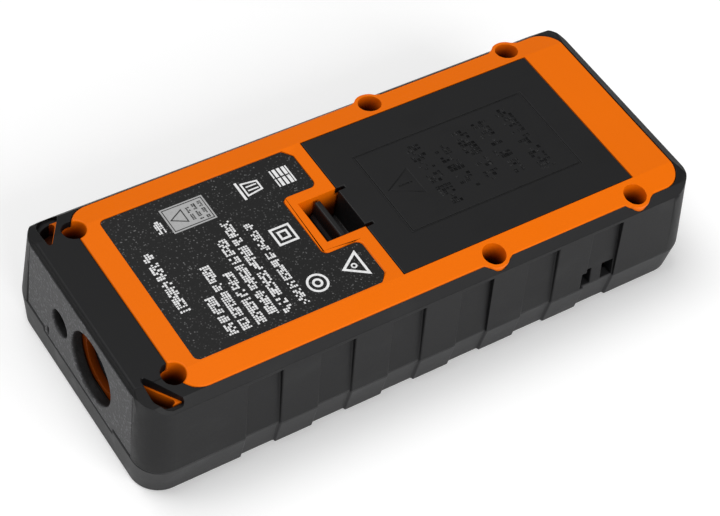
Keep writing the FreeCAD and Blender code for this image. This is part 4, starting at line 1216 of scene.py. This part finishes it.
class SetOut(Builder):
    """One shape set out in a grid, such as a chip's legs or a board's small parts."""

    def __init__(self) -> None:
        """Builds the tree."""
        super().__init__("set_out")
        shape = self.input("Shape", "Object")
        across = self.input("Across", "Int", 4)
        down = self.input("Down", "Int", 1)
        span = self.input("Span", "Float", 0.0)
        depth = self.input("Depth", "Float", 0.0)
        share = self.input("Share", "Float", 1.0)
        seed = self.input("Seed", "Int", 0)
        grid = self.grid(span, depth, across, down)
        kept = self.without(grid, self.chance(seed, 0.0, 1.0) > share)
        self.close(self.copies(kept, self.shape_of(shape)))


class OnPoints(Builder):
    """One shape at each point of a list, such as the case screws."""

    def __init__(self) -> None:
        """Builds the tree."""
        super().__init__("on_points")
        shape = self.input("Shape", "Object")
        points = self.input("Points", "Object")
        turn = self.input("Turn", "Float", 0.0)
        seed = self.input("Seed", "Int", 0)
        spin = self.wire("ShaderNodeCombineXYZ", values={2: self.chance(seed, -1.0, 1.0) * turn})
        turned = self.wire("FunctionNodeEulerToRotation", values={0: spin})
        self.close(self.copies(self.shape_of(points), self.shape_of(shape), Rotation=turned))


# ----------------------------------------------------------------- assemblies


def islands(node: str) -> list[tuple[Vector, Vector]]:
    """The low and high corner of each separate solid of a CAD node, from low x and y to high."""
    shape = merged_copy(node)
    left = set(shape.verts)
    found = []
    while left:
        group, edge = set(), [left.pop()]
        while edge:
            vertex = edge.pop()
            group.add(vertex)
            near = {link.other_vert(vertex) for link in vertex.link_edges} & left
            left -= near
            edge.extend(near)
        low = Vector([min(v.co[i] for v in group) for i in range(3)])
        high = Vector([max(v.co[i] for v in group) for i in range(3)])
        found.append((low, high))
    shape.free()
    return sorted(found, key=lambda pair: tuple(round(c, 5) for c in pair[0]))


@dataclass
class Casing:
    """The four outer mouldings."""

    crown_radius: float = 0.7 * MM
    edge_radius: float = 0.24 * MM
    shell_radius: float = 0.28 * MM
    housing_radius: float = 0.3 * MM
    nose_radius: float = 0.22 * MM
    rib_top: float = 22.0 * MM
    crown_share: float = 0.93
    thin_area: float = 0.2 * MM * MM
    thin_share: float = 0.4
    rib_share: float = 0.3

    def build(self) -> None:
        """Makes the mouldings and puts them on the casing."""
        mouldings = (
            ("rear_bumper", "back_bumper", BUMPER, "bumper_black"),
            ("front_shell", "face_shell", SHELL, "shell_black"),
            ("rear_housing", "back_housing", ORANGE, "housing_orange"),
            ("nose_plate", "nose_panel", NOSE, "nose_grey"),
        )
        roundings = (
            (self.crown_radius, 3, self.crown()),
            (self.shell_radius, 2, self.outer),
            (self.housing_radius, 3, self.upper),
            (self.nose_radius, 3, None),
        )
        for (node, name, finish, slot), rounding in zip(mouldings, roundings):
            stand_in(node, name, finish, "casing", slot, *rounding)

    def crown(self) -> Callable[[bmesh.types.BMEdge], float]:
        """The soft rear half's shares: wide rounding round its crown, small elsewhere."""
        _, high, _ = thing_box("rear_bumper")
        small = self.edge_radius / self.crown_radius

        def weigh(edge: bmesh.types.BMEdge) -> float:
            """The whole radius for edges between the crown and the flanks."""
            ends = [v.co for v in edge.verts]
            if min(v.z for v in ends) < high.z - SAME_LEVEL:
                return small
            normals = [face.normal for face in edge.link_faces]
            flank = min(normals, key=lambda n: abs(n.z))
            across = 0 if abs(flank.x) > abs(flank.y) else 1
            middle = (ends[0] + ends[1]) / 2
            outside = max(abs(middle.x) / high.x, abs(middle.y) / high.y) > self.crown_share
            outward = flank[across] * middle[across] > 0
            return 1.0 if outside and outward and edge.is_convex else small

        return weigh

    def outer(self, edge: bmesh.types.BMEdge) -> float:
        """Rounds every sharp edge but the thinnest inner ones."""
        smallest = min(face.calc_area() for face in edge.link_faces)
        return 1.0 if smallest > self.thin_area else self.thin_share

    def upper(self, edge: bmesh.types.BMEdge) -> float:
        """Rounds the housing's outer edges, above its inner ribs."""
        return 1.0 if max(v.co.z for v in edge.verts) > self.rib_top else self.rib_share


@dataclass
class MarkRow:
    """One row of tiles: its ends, its middle and its height, in millimetres."""

    start: float
    end: float
    y: float
    height: float
    fill: Point = (0.74, 0.78)
    word_share: float = 1.1
    gap: float = 0.1

    def tiles(
        self, tree: TileRows, finish: Finish, pitch: float, thickness: float, z: float, seed: int,
        share: float = 0.74, rows: int = 4,
    ) -> bpy.types.Mesh:
        """The row's tiles, in place.

        Args:
            tree: the tree that lays them.
            finish: their finish.
            pitch: the distance between columns in millimetres.
            thickness: their thickness in metres.
            z: the height of their middles in metres.
            seed: the seed of their pattern.
            share: the share of the places that is filled.
            rows: the tiles in the row's height.

        Returns:
            The mesh.
        """
        columns = max(3, round(abs(self.start - self.end) / pitch) + 1)
        rise = self.height / rows
        mesh = tree.run(
            "row", finish, Columns=columns, Rows=rows, Pitch=pitch * MM, Rise=rise * MM,
            Tile=(pitch * self.fill[0] * MM, rise * self.fill[1] * MM, thickness), Share=share,
            Word=self.height * self.word_share * MM, Gap=self.gap, Seed=seed,
        )
        mesh.transform(Matrix.Translation(((self.start + self.end) / 2 * MM, self.y * MM, z)))
        return mesh


@dataclass
class BatteryDoor:
    """The hinged cover with its sunk marks, and the latch at its edge."""

    cover_radius: float = 0.22 * MM
    latch_radius: float = 0.14 * MM
    depth: float = 0.14 * MM
    sign_place: Point = (-0.2, 7.5)
    sign: tuple[float, float, float] = (3.5, -2.6, 3.8)
    sign_line: float = 0.34
    pitch: float = 0.84
    share: float = 0.66
    first_seed: int = 40
    rows: tuple[MarkRow, ...] = (
        MarkRow(7.4, -8.2, 13.7, 3.3),
        MarkRow(6.0, -5.9, 18.6, 3.3),
        MarkRow(6.0, -7.6, 23.8, 3.3),
        MarkRow(6.3, -7.7, 28.7, 3.3),
        MarkRow(8.0, -8.5, 34.6, 3.3),
    )

    def build(self, tree: TileRows) -> None:
        """Makes the cover and the latch.

        Args:
            tree: the tree that lays the rows of marks.
        """
        cover = rounded_copy("battery_cover", "door_cover", COVER, self.cover_radius, 3)
        self.mark(cover, tree)
        settle(cover, "cover", "cover_black", ["battery_cover"])
        stand_in("battery_latch", "door_latch", COVER, "latch", "cover_black", self.latch_radius, 3)

    def mark(self, cover: bpy.types.Object, tree: TileRows) -> None:
        """Sinks the sign and the rows into the cover's face.

        Args:
            cover: the rounded cover.
            tree: the tree that lays the rows.
        """
        _, high, _ = thing_box("battery_cover")
        sign = Stencil(high.z - self.depth, high.z + self.depth).at(*self.sign_place)
        sign.frame_line(triangle(*self.sign), self.sign_line)
        sign.bar(-0.2, -0.9, 0.4, 2.2)
        sign.bar(-0.2, -1.6, 0.4, 0.4)
        rows = [
            row.tiles(tree, COVER, self.pitch, self.depth * 2, high.z, seed, self.share)
            for seed, row in enumerate(self.rows, self.first_seed)
        ]
        cut_out(cover, joined([sign.mesh("sign"), *rows], "cutter"))
        even_out(cover, 40.0)


@dataclass
class RatingLabel:
    """The speckled film in the housing's back, with abstract rows and plain pictures on it."""

    ink: float = 0.02 * MM
    pitch: float = 0.5
    first_seed: int = 3
    title: MarkRow = field(default_factory=lambda: MarkRow(7.2, -7.4, -43.1, 2.1))
    lines: tuple[MarkRow, ...] = (
        MarkRow(15.2, 6.2, -38.1, 1.95),
        MarkRow(15.2, -0.2, -35.4, 1.95),
        MarkRow(15.2, 2.9, -32.5, 1.95),
        MarkRow(15.2, -4.2, -29.7, 1.95),
        MarkRow(15.2, -7.6, -27.0, 1.95),
        MarkRow(15.2, -5.5, -23.5, 1.7),
        MarkRow(-10.2, -13.1, -37.9, 1.6),
    )
    plate_place: Point = (-11.9, -31.75)
    plate: Point = (3.0, 4.4)
    plate_lines: tuple[MarkRow, ...] = (
        MarkRow(-10.0, -13.7, -31.2, 0.8),
        MarkRow(-10.0, -13.9, -29.9, 0.8),
        MarkRow(-9.8, -14.1, -28.6, 0.8),
    )
    plate_pitch: float = 0.36
    plate_share: float = 0.8
    plate_rows: int = 2
    plate_seed: int = 20

    def build(self, tree: TileRows) -> None:
        """Dresses the film and lays the print on it.

        Args:
            tree: the tree that lays the rows.
        """
        dress("rating_label", FILM)
        _, high, _ = thing_box("rating_label")
        middle = high.z + self.ink / 2
        rows = [
            row.tiles(tree, WHITE_INK, self.pitch, self.ink, middle, seed)
            for seed, row in enumerate((self.title, *self.lines), self.first_seed)
        ]
        self.pictures(high.z, rows)
        self.sign_plate(high.z, tree)

    def pictures(self, z: float, rows: list[bpy.types.Mesh]) -> None:
        """The white print: the rows and the plain pictures.

        Args:
            z: the film's face.
            rows: the rows' meshes, which are used up.
        """
        ink = Stencil(z, z + self.ink)
        self.bin(ink.at(-12.35, -18.6))
        self.book(ink.at(-12.2, -12.0))
        ink.at(0.0, -18.8)
        for half in (2.1, 1.05):
            ink.frame_line(oblong(half, half), 0.45)
        ink.at(12.3, -19.3).ring(2.1, 0.45)
        ink.ring(1.0, 0.45)
        warning = ink.at(11.9, -11.4)
        warning.frame_line(triangle(3.1, -1.9, 2.6), 0.5)
        warning.ring(0.6, 0.3)
        piece = as_object("label_print", joined([*rows, ink.mesh("ink")], "print"), WHITE_INK)
        settle(piece, "casing", "label_film")

    def bin(self, ink: Stencil) -> None:
        """A plain bin with a lid."""
        ink.frame_line([(-1.2, -2.2), (1.2, -2.2), (1.7, 1.3), (-1.7, 1.3)], 0.35)
        ink.bar(-2.2, 1.7, 4.4, 0.5)
        ink.bar(-0.6, -1.6, 0.3, 2.2)
        ink.bar(0.3, -1.6, 0.3, 2.2)

    def book(self, ink: Stencil) -> None:
        """A plain open book with ruled pages."""
        for side in (-1, 1):
            for index, level in enumerate((1.9, 0.95, 0.0, -0.95)):
                height = 0.62 if index else 0.3
                ink.bar(min(side * 0.15, side * 2.1), level - 0.7, 1.95, height)
        ink.bar(-2.1, -2.15, 4.2, 0.3)

    def sign_plate(self, z: float, tree: TileRows) -> None:
        """The small grey plate with a plain sign and rows.

        Args:
            z: the film's face.
            tree: the tree that lays the rows.
        """
        half_x, half_y = self.plate
        ground = Stencil(z, z + self.ink).at(*self.plate_place)
        ground.patch(oblong(half_x, half_y))
        settle(as_object("label_plate", ground.mesh("plate"), GREY_INK), "casing", "label_film")
        dark = Stencil(z + self.ink, z + self.ink * 2).at(*self.plate_place)
        dark.frame_line(oblong(half_x * 0.9, half_y * 0.93), 0.18)
        dark.at(self.plate_place[0], self.plate_place[1] - 2.0)
        dark.frame_line(triangle(1.7, -1.4, 1.7), 0.22)
        middle = z + self.ink * 1.5
        rows = [
            row.tiles(
                tree, DARK_INK, self.plate_pitch, self.ink, middle, seed, self.plate_share,
                self.plate_rows,
            )
            for seed, row in enumerate(self.plate_lines, self.plate_seed)
        ]
        piece = as_object("label_plate_print", joined([*rows, dark.mesh("dark")], "dark"), DARK_INK)
        settle(piece, "casing", "label_film")


@dataclass
class Fasteners:
    """The screws: a turned head with a cross recess on a threaded shank."""

    head_share: float = 0.96
    shank_share: float = 0.42
    root_share: float = 0.8
    thread: float = 0.5 * MM
    edge_share: float = 0.42
    recess: float = 0.62
    recess_reach: float = 0.56
    recess_half: float = 0.17

    def screw(self, head_radius: float, head_height: float, length: float) -> bpy.types.Mesh:
        """One screw that stands on its tip with its head up.

        Args:
            head_radius: the head's radius.
            head_height: the head's height.
            length: the whole length.

        Returns:
            Its mesh.
        """
        shank = head_radius * self.shank_share
        root = shank * self.root_share
        neck = length - head_height
        profile: list[Point] = [(0.0, 0.0), (shank * 0.55, shank * 0.5)]
        turns = max(2, int((neck - shank) / self.thread))
        pitch = (neck - root) / turns
        for turn in range(turns):
            base = shank * 0.6 + turn * pitch
            profile += [(root, base), (shank, base + pitch * 0.5)]
        profile += [(root, neck - 0.04 * MM), (head_radius * 0.93, neck)]
        edge = head_height * self.edge_share
        rim = neck + head_height - edge
        profile += [(head_radius, neck + 0.07 * head_height), (head_radius, rim)]
        profile += arc((head_radius - edge, rim), edge, 18, 76, 3)
        profile += [(head_radius * 0.3, length), (0.0, length)]
        blank = linked(spare_object("blank", into_mesh(lathe(profile, 36), "screw")))
        cross = Stencil(length - head_height * self.recess, length + 0.1 * MM, flip=(1, 1))
        reach, half = (head_radius * share / MM for share in (self.recess_reach, self.recess_half))
        cross.patch(cross_shape(reach, half))
        cut_out(blank, cross.mesh("cross"))
        made = blank.data
        smooth(made, 36.0)
        drop(blank)
        return made

    def set_in(self, tree: OnPoints, node: str, name: str, head_height: float, seed: int) -> None:
        """Sets a screw at each solid of a CAD node.

        Args:
            tree: the tree that sets them.
            node: the CAD node.
            name: the piece's name.
            head_height: the heads' height.
            seed: the seed of how far each one is turned.
        """
        solids = islands(node)
        low, high = solids[0]
        radius = (high.x - low.x) / 2 * self.head_share
        shape = spare_object("one_screw", self.screw(radius, head_height, high.z - low.z))
        points = bpy.data.meshes.new("places")
        places = [((a.x + b.x) / 2, (a.y + b.y) / 2, a.z) for a, b in solids]
        points.from_pydata(places, [], [])
        spots = spare_object("places", points)
        mesh = tree.run(name, SCREW, Shape=shape, Points=spots, Turn=math.pi, Seed=seed)
        drop(shape, spots)
        smooth(mesh, 36.0)
        settle(as_object(name, mesh, SCREW), "casing", "screw_steel", [node])

    def build(self, tree: OnPoints) -> None:
        """Sets the case screws and the board screws.

        Args:
            tree: the tree that sets them.
        """
        self.set_in(tree, "case_screws", "case_fasteners", 1.3 * MM, 4)
        self.set_in(tree, "board_screws", "board_fasteners", 1.0 * MM, 9)


class End(enum.Enum):
    """Which way a cell's nub points."""

    NOSE = -1
    BASE = 1


@dataclass
class PowerPack:
    """The cells, their springs and their contact strips."""

    sleeve_edge: float = 0.35 * MM
    shoulder: float = 0.9 * MM
    band_share: float = 0.24
    nub_share: float = 0.36
    nub_rise: float = 0.8 * MM
    coil_foot: float = 3.0 * MM
    coil_tip: float = 1.8 * MM
    coil_wire: float = 0.3 * MM
    turns: float = 3.2
    strip_radius: float = 0.08 * MM

    def cell(self, node: str, end: End) -> None:
        """One cell in its sleeve.

        Args:
            node: its CAD node.
            end: where its nub points.
        """
        low, high, middle = thing_box(node)
        radius, length = (high.x - low.x) / 2, high.y - low.y
        nub, rise, top = radius * self.nub_share, self.nub_rise, length - self.nub_rise
        rim, edge = radius - self.shoulder, self.sleeve_edge
        band = length * self.band_share
        rows: list[tuple[float, float, float]] = [
            (0.0, 0.12 * MM, 1), (rim * 0.6, 0.12 * MM, 1), (rim * 0.66, 0.0, 1), (rim, 0.0, 1),
            (rim + 0.02 * MM, 0.02 * MM, 0), (radius - edge, 0.06 * MM, 0),
            (radius - edge * 0.3, edge * 0.35, 0), (radius, edge, 0),
            (radius, top - band, 0), (radius, top - band + 0.02 * MM, 0.6),
            (radius, top - edge * 2, 0.6), (radius - edge * 0.4, top - edge, 0.6),
            (rim + 0.1 * MM, top - 0.05 * MM, 0.6), (rim + 0.08 * MM, top - 0.12 * MM, 1),
            (nub * 1.9, top - 0.1 * MM, 1), (nub * 1.25, top, 1), (nub, top + 0.14 * MM, 1),
            (nub, top + rise * 0.75, 1), (nub * 0.88, length, 1), (0.0, length, 1),
        ]
        shape = lathe([row[:2] for row in rows], 56, [row[2] for row in rows])
        start = low.y if end is End.BASE else high.y
        mesh = into_mesh(shape, node, facing((0, end.value, 0), (middle.x, start, middle.z)))
        smooth(mesh, 40.0)
        piece = as_object(node.replace("battery_cell", "cell"), mesh, CELL)
        settle(piece, "casing", "cell_wrap", [node])

    def build(self, tree: CoilSpring) -> None:
        """Makes the cells, the springs and the strips.

        Args:
            tree: the tree that winds the springs.
        """
        ends = {"battery_cell_1": End.BASE, "battery_cell_2": End.NOSE, "battery_cell_3": End.BASE}
        coils = []
        for node, end in ends.items():
            self.cell(node, end)
            low, high, middle = thing_box(node)
            strip = "nose_contacts" if end is End.BASE else "base_contacts"
            strip_low, strip_high, _ = thing_box(strip)
            foot, tip = (strip_high.y, low.y) if end is End.BASE else (strip_low.y, high.y)
            rise = abs(tip - foot) - self.coil_wire * 2
            coil = tree.run(
                "coil", SPRING, Turns=self.turns, Foot_Radius=self.coil_foot - self.coil_wire,
                Tip_Radius=self.coil_tip - self.coil_wire, Height=rise, Wire_Radius=self.coil_wire,
            )
            start = (middle.x, foot + end.value * self.coil_wire, middle.z)
            coil.transform(facing((0, end.value, 0), start))
            coils.append(coil)
        springs = joined(coils, "springs")
        smooth(springs, 60.0)
        piece = as_object("cell_springs", springs, SPRING)
        settle(piece, "casing", "spring_steel", ["contact_springs"])
        for strip in ("nose_contacts", "base_contacts"):
            name = strip.replace("contacts", "strips")
            stand_in(strip, name, NICKEL, "casing", "contact_nickel", self.strip_radius)


class Picture(enum.Enum):
    """The plain pictures printed on the keys."""

    DOT_RING = "measure"
    BOX = "unit"
    EDGES = "reference"
    PLUS = "plus"
    TRIANGLE = "function"
    MINUS = "minus"
    STACK = "memory"
    POWER = "power"


@dataclass
class Keypad:
    """The keys with their printed pictures, and the mat and domes under them."""

    crown: float = 0.7 * MM
    flange: float = 0.12 * MM
    ink: float = 0.02 * MM
    line: float = 0.42
    mat_radius: float = 0.1 * MM
    dome_radius: float = 0.12 * MM

    def picture(self, which: Picture, ink: Stencil) -> None:
        """Draws one picture about the drawing's middle."""
        line = self.line
        if which is Picture.DOT_RING:
            ink.ring(3.2, line)
            ink.patch(arc((0, 0), 1.1, 0, 345, 23))
        elif which is Picture.BOX:
            ink.frame_line(oblong(1.5, 1.5), line)
        elif which is Picture.EDGES:
            for y in (-1.6, -0.2, 1.2):
                ink.bar(-1.5, y, 3.0, line)
        elif which is Picture.PLUS:
            ink.patch(cross_shape(1.6, line / 2))
        elif which is Picture.TRIANGLE:
            ink.frame_line(triangle(1.7, -1.3, 1.6), line)
        elif which is Picture.MINUS:
            ink.bar(-1.6, -line / 2, 3.2, line)
        elif which is Picture.STACK:
            ink.frame_line(oblong(1.2, 1.2, -0.4, -0.4), line)
            ink.bar(-0.9, 1.15, 2.4, line)
            ink.bar(1.15, -0.9, line, 1.95)
        elif which is Picture.POWER:
            ink.ring(1.6, line, 120, 420)
            ink.bar(-line / 2, 0.2, line, 1.7)

    def crown_first(self, node: str) -> Callable[[bmesh.types.BMEdge], float]:
        """The whole radius for the edges of a key's outer face, little for the rest."""
        low, _, _ = thing_box(node)

        def weigh(edge: bmesh.types.BMEdge) -> float:
            """The edge's share."""
            outer = max(v.co.z for v in edge.verts) < low.z + SAME_LEVEL
            return 1.0 if outer else self.flange / self.crown

        return weigh

    def build(self) -> None:
        """Makes the keys, their pictures, the mat and the domes."""
        for which in Picture:
            node = f"{which.value}_key"
            finish = MEASURE if which is Picture.DOT_RING else RUBBER
            slot = "measure_orange" if which is Picture.DOT_RING else "key_rubber"
            button = f"{which.value}_button"
            stand_in(node, button, finish, node, slot, self.crown, 3, self.crown_first(node))
            low, _, middle = thing_box(node)
            ink = Stencil(low.z - self.ink, low.z, (middle.x / MM, middle.y / MM), (1, -1))
            self.picture(which, ink)
            settle(as_object(f"{which.value}_picture", ink.mesh(node), WHITE_INK), node, slot)
        stand_in("keypad_mat", "keypad_sheet", RUBBER, "casing", "key_rubber", self.mat_radius)
        stand_in("key_domes", "snap_domes", SPRING, "casing", "spring_steel", self.dome_radius)


SEGMENTS = {
    "0": "abcdef", "1": "bc", "2": "abged", "3": "abgcd", "4": "fgbc",
    "5": "afgcd", "6": "afgedc", "7": "abc", "8": "abcdefg", "9": "abfgcd",
}


@dataclass
class Display:
    """The window, the display glass with its digits, the backlight and the contact strips."""

    ink: float = 0.02 * MM
    pane_radius: float = 0.15 * MM
    line_share: float = 0.12
    dot_pitch: float = 0.16
    digit_pitch: float = 0.68
    rows: tuple[tuple[str, float, float, float], ...] = (
        ("2.458", -9.5, -18.2, 6.2),
        ("1.072", -6.5, -27.2, 3.4),
        ("3.146", -6.5, -33.0, 3.4),
        ("0.985", -6.5, -38.8, 3.4),
    )

    def digit(self, ink: Stencil, x: float, height: float, lit: str) -> None:
        """One seven-segment digit.

        Args:
            ink: the drawing, centred on the row.
            x: the digit's left side in millimetres.
            height: its height.
            lit: the segments that show.
        """
        line, gap = height * self.line_share, height * 0.015
        width = half = height / 2
        flat = {"a": half - line, "g": -line / 2, "d": -half}
        upright = {"f": (0, 1), "b": (1, 1), "e": (0, -1), "c": (1, -1)}
        for name, y in flat.items():
            if name in lit:
                ink.bar(x + line + gap, y, width - 2 * (line + gap), line)
        for name, (side, way) in upright.items():
            if name in lit:
                low = gap if way > 0 else -half + gap
                ink.bar(x + side * (width - line), low, line, half - 2 * gap)

    def build(self) -> None:
        """Makes the display and prints the digits."""
        for node, finish in (
            ("backlight", DIFFUSER), ("lcd_glass", DISPLAY), ("display_contact_strips", STRIP),
        ):
            dress(node, finish)
        pane = ("display_window", "display_pane", WINDOW, "casing", "window_clear")
        stand_in(*pane, self.pane_radius)
        low, _, _ = thing_box("lcd_glass")
        ink = Stencil(low.z - self.ink, low.z, (0, 0), (1, -1))
        for text, start, y, height in self.rows:
            ink.at(0.0, y)
            x = start
            for sign in text:
                if sign == ".":
                    dot = height * self.line_share
                    ink.bar(x - dot / 2, -height / 2, dot, dot)
                    x += height * self.dot_pitch
                    continue
                self.digit(ink, x, height, SEGMENTS[sign])
                x += height * self.digit_pitch
            ink.frame_line(oblong(1.1, 1.2, -12.3), 0.28)
        settle(as_object("display_digits", ink.mesh("digits"), SEGMENT_INK), "casing", "lcd_glass")


BOX_FACES = ((0, 1, 3, 2), (4, 6, 7, 5), (0, 4, 5, 1), (2, 3, 7, 6), (0, 2, 6, 4), (1, 5, 7, 3))


@dataclass
class Electronics:
    """The main board with its parts."""

    leg: tuple[float, float, float] = (0.24 * MM, 0.9 * MM, 0.5 * MM)
    leg_thickness: float = 0.1 * MM
    leg_row_share: float = 0.8
    part: tuple[float, float, float] = (1.0 * MM, 0.5 * MM, 0.4 * MM)
    part_grid: tuple[int, int] = (5, 6)
    part_field: Point = (7.6 * MM, 6.0 * MM)
    part_place: Point = (-0.4 * MM, -21.0 * MM)
    part_share: float = 0.8
    part_seed: int = 5

    def leg_shape(self) -> bpy.types.Mesh:
        """One bent chip leg, whose foot points along +Y."""
        width, reach, rise = self.leg
        thick = self.leg_thickness
        line = [
            (0, rise), (reach * 0.35, rise), (reach * 0.6, thick), (reach, thick), (reach, 0),
            (reach * 0.52, 0), (reach * 0.28, rise - thick), (0, rise - thick),
        ]
        shape = bmesh.new()
        sides = [[shape.verts.new((x, y, z)) for y, z in line] for x in (-width / 2, width / 2)]
        for side in sides:
            shape.faces.new(side)
        for i in range(len(line)):
            j = (i + 1) % len(line)
            shape.faces.new((sides[0][i], sides[0][j], sides[1][j], sides[1][i]))
        bmesh.ops.recalc_face_normals(shape, faces=shape.faces)
        return into_mesh(shape, "leg")

    def legs(self, tree: SetOut, node: str, count: int, sides: Sequence[int]) -> None:
        """Puts legs round a chip.

        Args:
            tree: the tree that sets them out.
            node: the chip's CAD node.
            count: the legs on a side.
            sides: the sides, as quarter turns from +Y.
        """
        low, high, middle = thing_box(node)
        leg = spare_object("one_leg", self.leg_shape())
        rows = []
        for side in sides:
            across = (high.x - low.x) if side % 2 == 0 else (high.y - low.y)
            out = (high.y - low.y) / 2 if side % 2 == 0 else (high.x - low.x) / 2
            span = across * self.leg_row_share
            row = tree.run("legs", CAN, Shape=leg, Across=count, Down=1, Span=span)
            turn = Matrix.Rotation(math.radians(90 * side), 4, "Z")
            place = Matrix.Translation((middle.x, middle.y, low.z))
            row.transform(place @ turn @ Matrix.Translation((0, out - 0.02 * MM, 0)))
            rows.append(row)
        drop(leg)
        piece = as_object(f"{node}_legs", joined(rows, "legs"), CAN)
        settle(piece, "casing", "can_metal")

    def small_parts(self, tree: SetOut) -> None:
        """Rows of small board parts beside the processor."""
        _, board, _ = thing_box("main_board")
        length, width, height = self.part
        body = bmesh.new()
        for part, (low, high) in enumerate(((-0.5, -0.28), (-0.28, 0.28), (0.28, 0.5))):
            cap = 0.0 if part == 1 else 0.03
            corners = [
                body.verts.new((x * length, y * width * (1 + cap), z * height * (1 + cap)))
                for x in (low, high) for y in (-0.5, 0.5) for z in (0.0, 1.0)
            ]
            for face in BOX_FACES:
                body.faces.new([corners[i] for i in face]).material_index = 0 if part == 1 else 1
        bmesh.ops.recalc_face_normals(body, faces=body.faces)
        shape = spare_object("one_part", into_mesh(body, "part"))
        across, down = self.part_grid
        span, depth = self.part_field
        mesh = tree.run(
            "small_parts", EPOXY, Shape=shape, Across=across, Down=down, Span=span, Depth=depth,
            Share=self.part_share, Seed=self.part_seed,
        )
        drop(shape)
        mesh.transform(Matrix.Translation((*self.part_place, board.z)))
        settle(as_object("board_small_parts", mesh, EPOXY), "casing", "chip_black")

    def build(self, tree: SetOut) -> None:
        """Dresses the board and its parts.

        Args:
            tree: the tree that sets out legs and small parts.
        """
        for node in ("main_board", "sensor_board"):
            dress(node, BOARD)
        table: tuple[tuple[str, str, Finish, float], ...] = (
            ("processor", "chip_black", EPOXY, 0.12),
            ("ranging_chip", "chip_black", EPOXY, 0.1),
            ("detector", "chip_black", EPOXY, 0.08),
            ("buzzer", "chip_black", EPOXY, 0.3),
            ("converter_coils", "coil_ferrite", FERRITE, 0.2),
            ("timing_crystals", "can_metal", CAN, 0.25),
            ("sensor_shield", "can_metal", CAN, 0.2),
        )
        for node, slot, finish, radius in table:
            stand_in(node, f"{node}_body", finish, "casing", slot, radius * MM)
        self.legs(tree, "processor", 16, (0, 1, 2, 3))
        self.legs(tree, "ranging_chip", 8, (1, 3))
        self.small_parts(tree)


@dataclass
class Optics:
    """The laser and the receiver behind the nose."""

    edge: float = 0.12 * MM

    def build(self) -> None:
        """Makes the optical parts."""
        table: tuple[tuple[str, str, str, Finish], ...] = (
            ("optics_bracket", "optics_carrier", "optics_black", BRACKET),
            ("receiver_lens", "receiver_glass", "lens_glass", LENS),
            ("collimator_lens", "collimator_glass", "lens_glass", LENS),
            ("laser_barrel", "laser_tube", "barrel_brass", BRASS),
            ("laser_window", "laser_pane", "window_clear", PANE),
        )
        for node, name, slot, finish in table:
            stand_in(node, name, finish, "casing", slot, self.edge)


@dataclass
class Studio:
    """The floor, the soft lights and the camera."""

    floor: float = 2.4
    gap: float = 0.05 * MM
    place: tuple[float, float, float] = (0.19814, -0.16976, 0.30989)
    azimuth: float = 49.44
    elevation: float = 49.25
    roll: float = 10.37
    lens: float = 105.88
    sensor: float = 36.0
    clip: Point = (0.02, 10.0)
    sky: float = 0.32
    lights: tuple[tuple[str, tuple[float, float, float], float, float], ...] = (
        ("key", (-0.3, -0.25, 0.95), 0.7, 6.0),
        ("side", (0.85, 0.05, 0.33), 0.8, 6.5),
    )

    def build(self) -> None:
        """Makes the whole set."""
        shape = bmesh.new()
        bmesh.ops.create_grid(shape, x_segments=12, y_segments=12, size=self.floor / 2)
        mesh = into_mesh(shape, "floor", Matrix.Translation((0, 0, -self.gap)))
        floor = as_object("floor", mesh, FLOOR)
        floor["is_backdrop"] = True
        world = bpy.data.worlds.new("soft_world")
        world.use_nodes = True
        sky = world.node_tree.nodes["Background"]
        sky.inputs["Color"].default_value = (1.0, 1.0, 1.0, 1.0)
        sky.inputs["Strength"].default_value = self.sky
        bpy.context.scene.world = world
        for lamp in self.lights:
            self.light(*lamp)
        bpy.context.scene.view_settings.view_transform = "Standard"
        self.camera()

    def light(self, name: str, place: Sequence[float], size: float, power: float) -> None:
        """A square soft light that points at the meter.

        Args:
            name: its name.
            place: where it hangs.
            size: its side.
            power: its power in watts.
        """
        lamp = bpy.data.lights.new(name, "AREA")
        lamp.shape = "SQUARE"
        lamp.size = size
        lamp.energy = power
        holder = linked(bpy.data.objects.new(name, lamp))
        holder.location = place
        holder.rotation_euler = (-Vector(place)).to_track_quat("-Z", "Y").to_euler()

    def camera(self) -> None:
        """Sets the camera where the meter is seen from behind and to the side."""
        turn, lift, tilt = (math.radians(a) for a in (self.azimuth, self.elevation, self.roll))
        ahead = Vector((
            -math.cos(lift) * math.sin(turn), math.cos(lift) * math.cos(turn), -math.sin(lift)
        ))
        level = Vector((math.cos(turn), math.sin(turn), 0.0))
        rise = level.cross(ahead)
        right = level * math.cos(tilt) + rise * math.sin(tilt)
        up = rise * math.cos(tilt) - level * math.sin(tilt)
        data = bpy.data.cameras.new("camera")
        data.lens = self.lens
        data.sensor_width = self.sensor
        data.clip_start, data.clip_end = self.clip
        camera = linked(bpy.data.objects.new("camera", data))
        turned = Matrix((right, up, -ahead)).transposed().to_4x4()
        camera.matrix_world = Matrix.Translation(self.place) @ turned
        bpy.context.scene.camera = camera


def write_size() -> None:
    """Gathers the CAD model's box and the visual model's box, and does nothing more with them."""
    boxes = {"cad": CAD_BOX, "visual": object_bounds()}
    {name: [list(low), list(high)] for name, (low, high) in boxes.items()}


def main() -> None:
    """Builds the meter, one sub-assembly after another."""
    logging.basicConfig(level=logging.INFO, format="%(name)s: %(message)s")
    Studio().build()
    tiles, coils, rows, points = TileRows(), CoilSpring(), SetOut(), OnPoints()
    Casing().build()
    BatteryDoor().build(tiles)
    RatingLabel().build(tiles)
    Fasteners().build(points)
    PowerPack().build(coils)
    Keypad().build()
    Display().build()
    Electronics().build(rows)
    Optics().build()
    write_size()


if __name__ == "__main__":
    main()
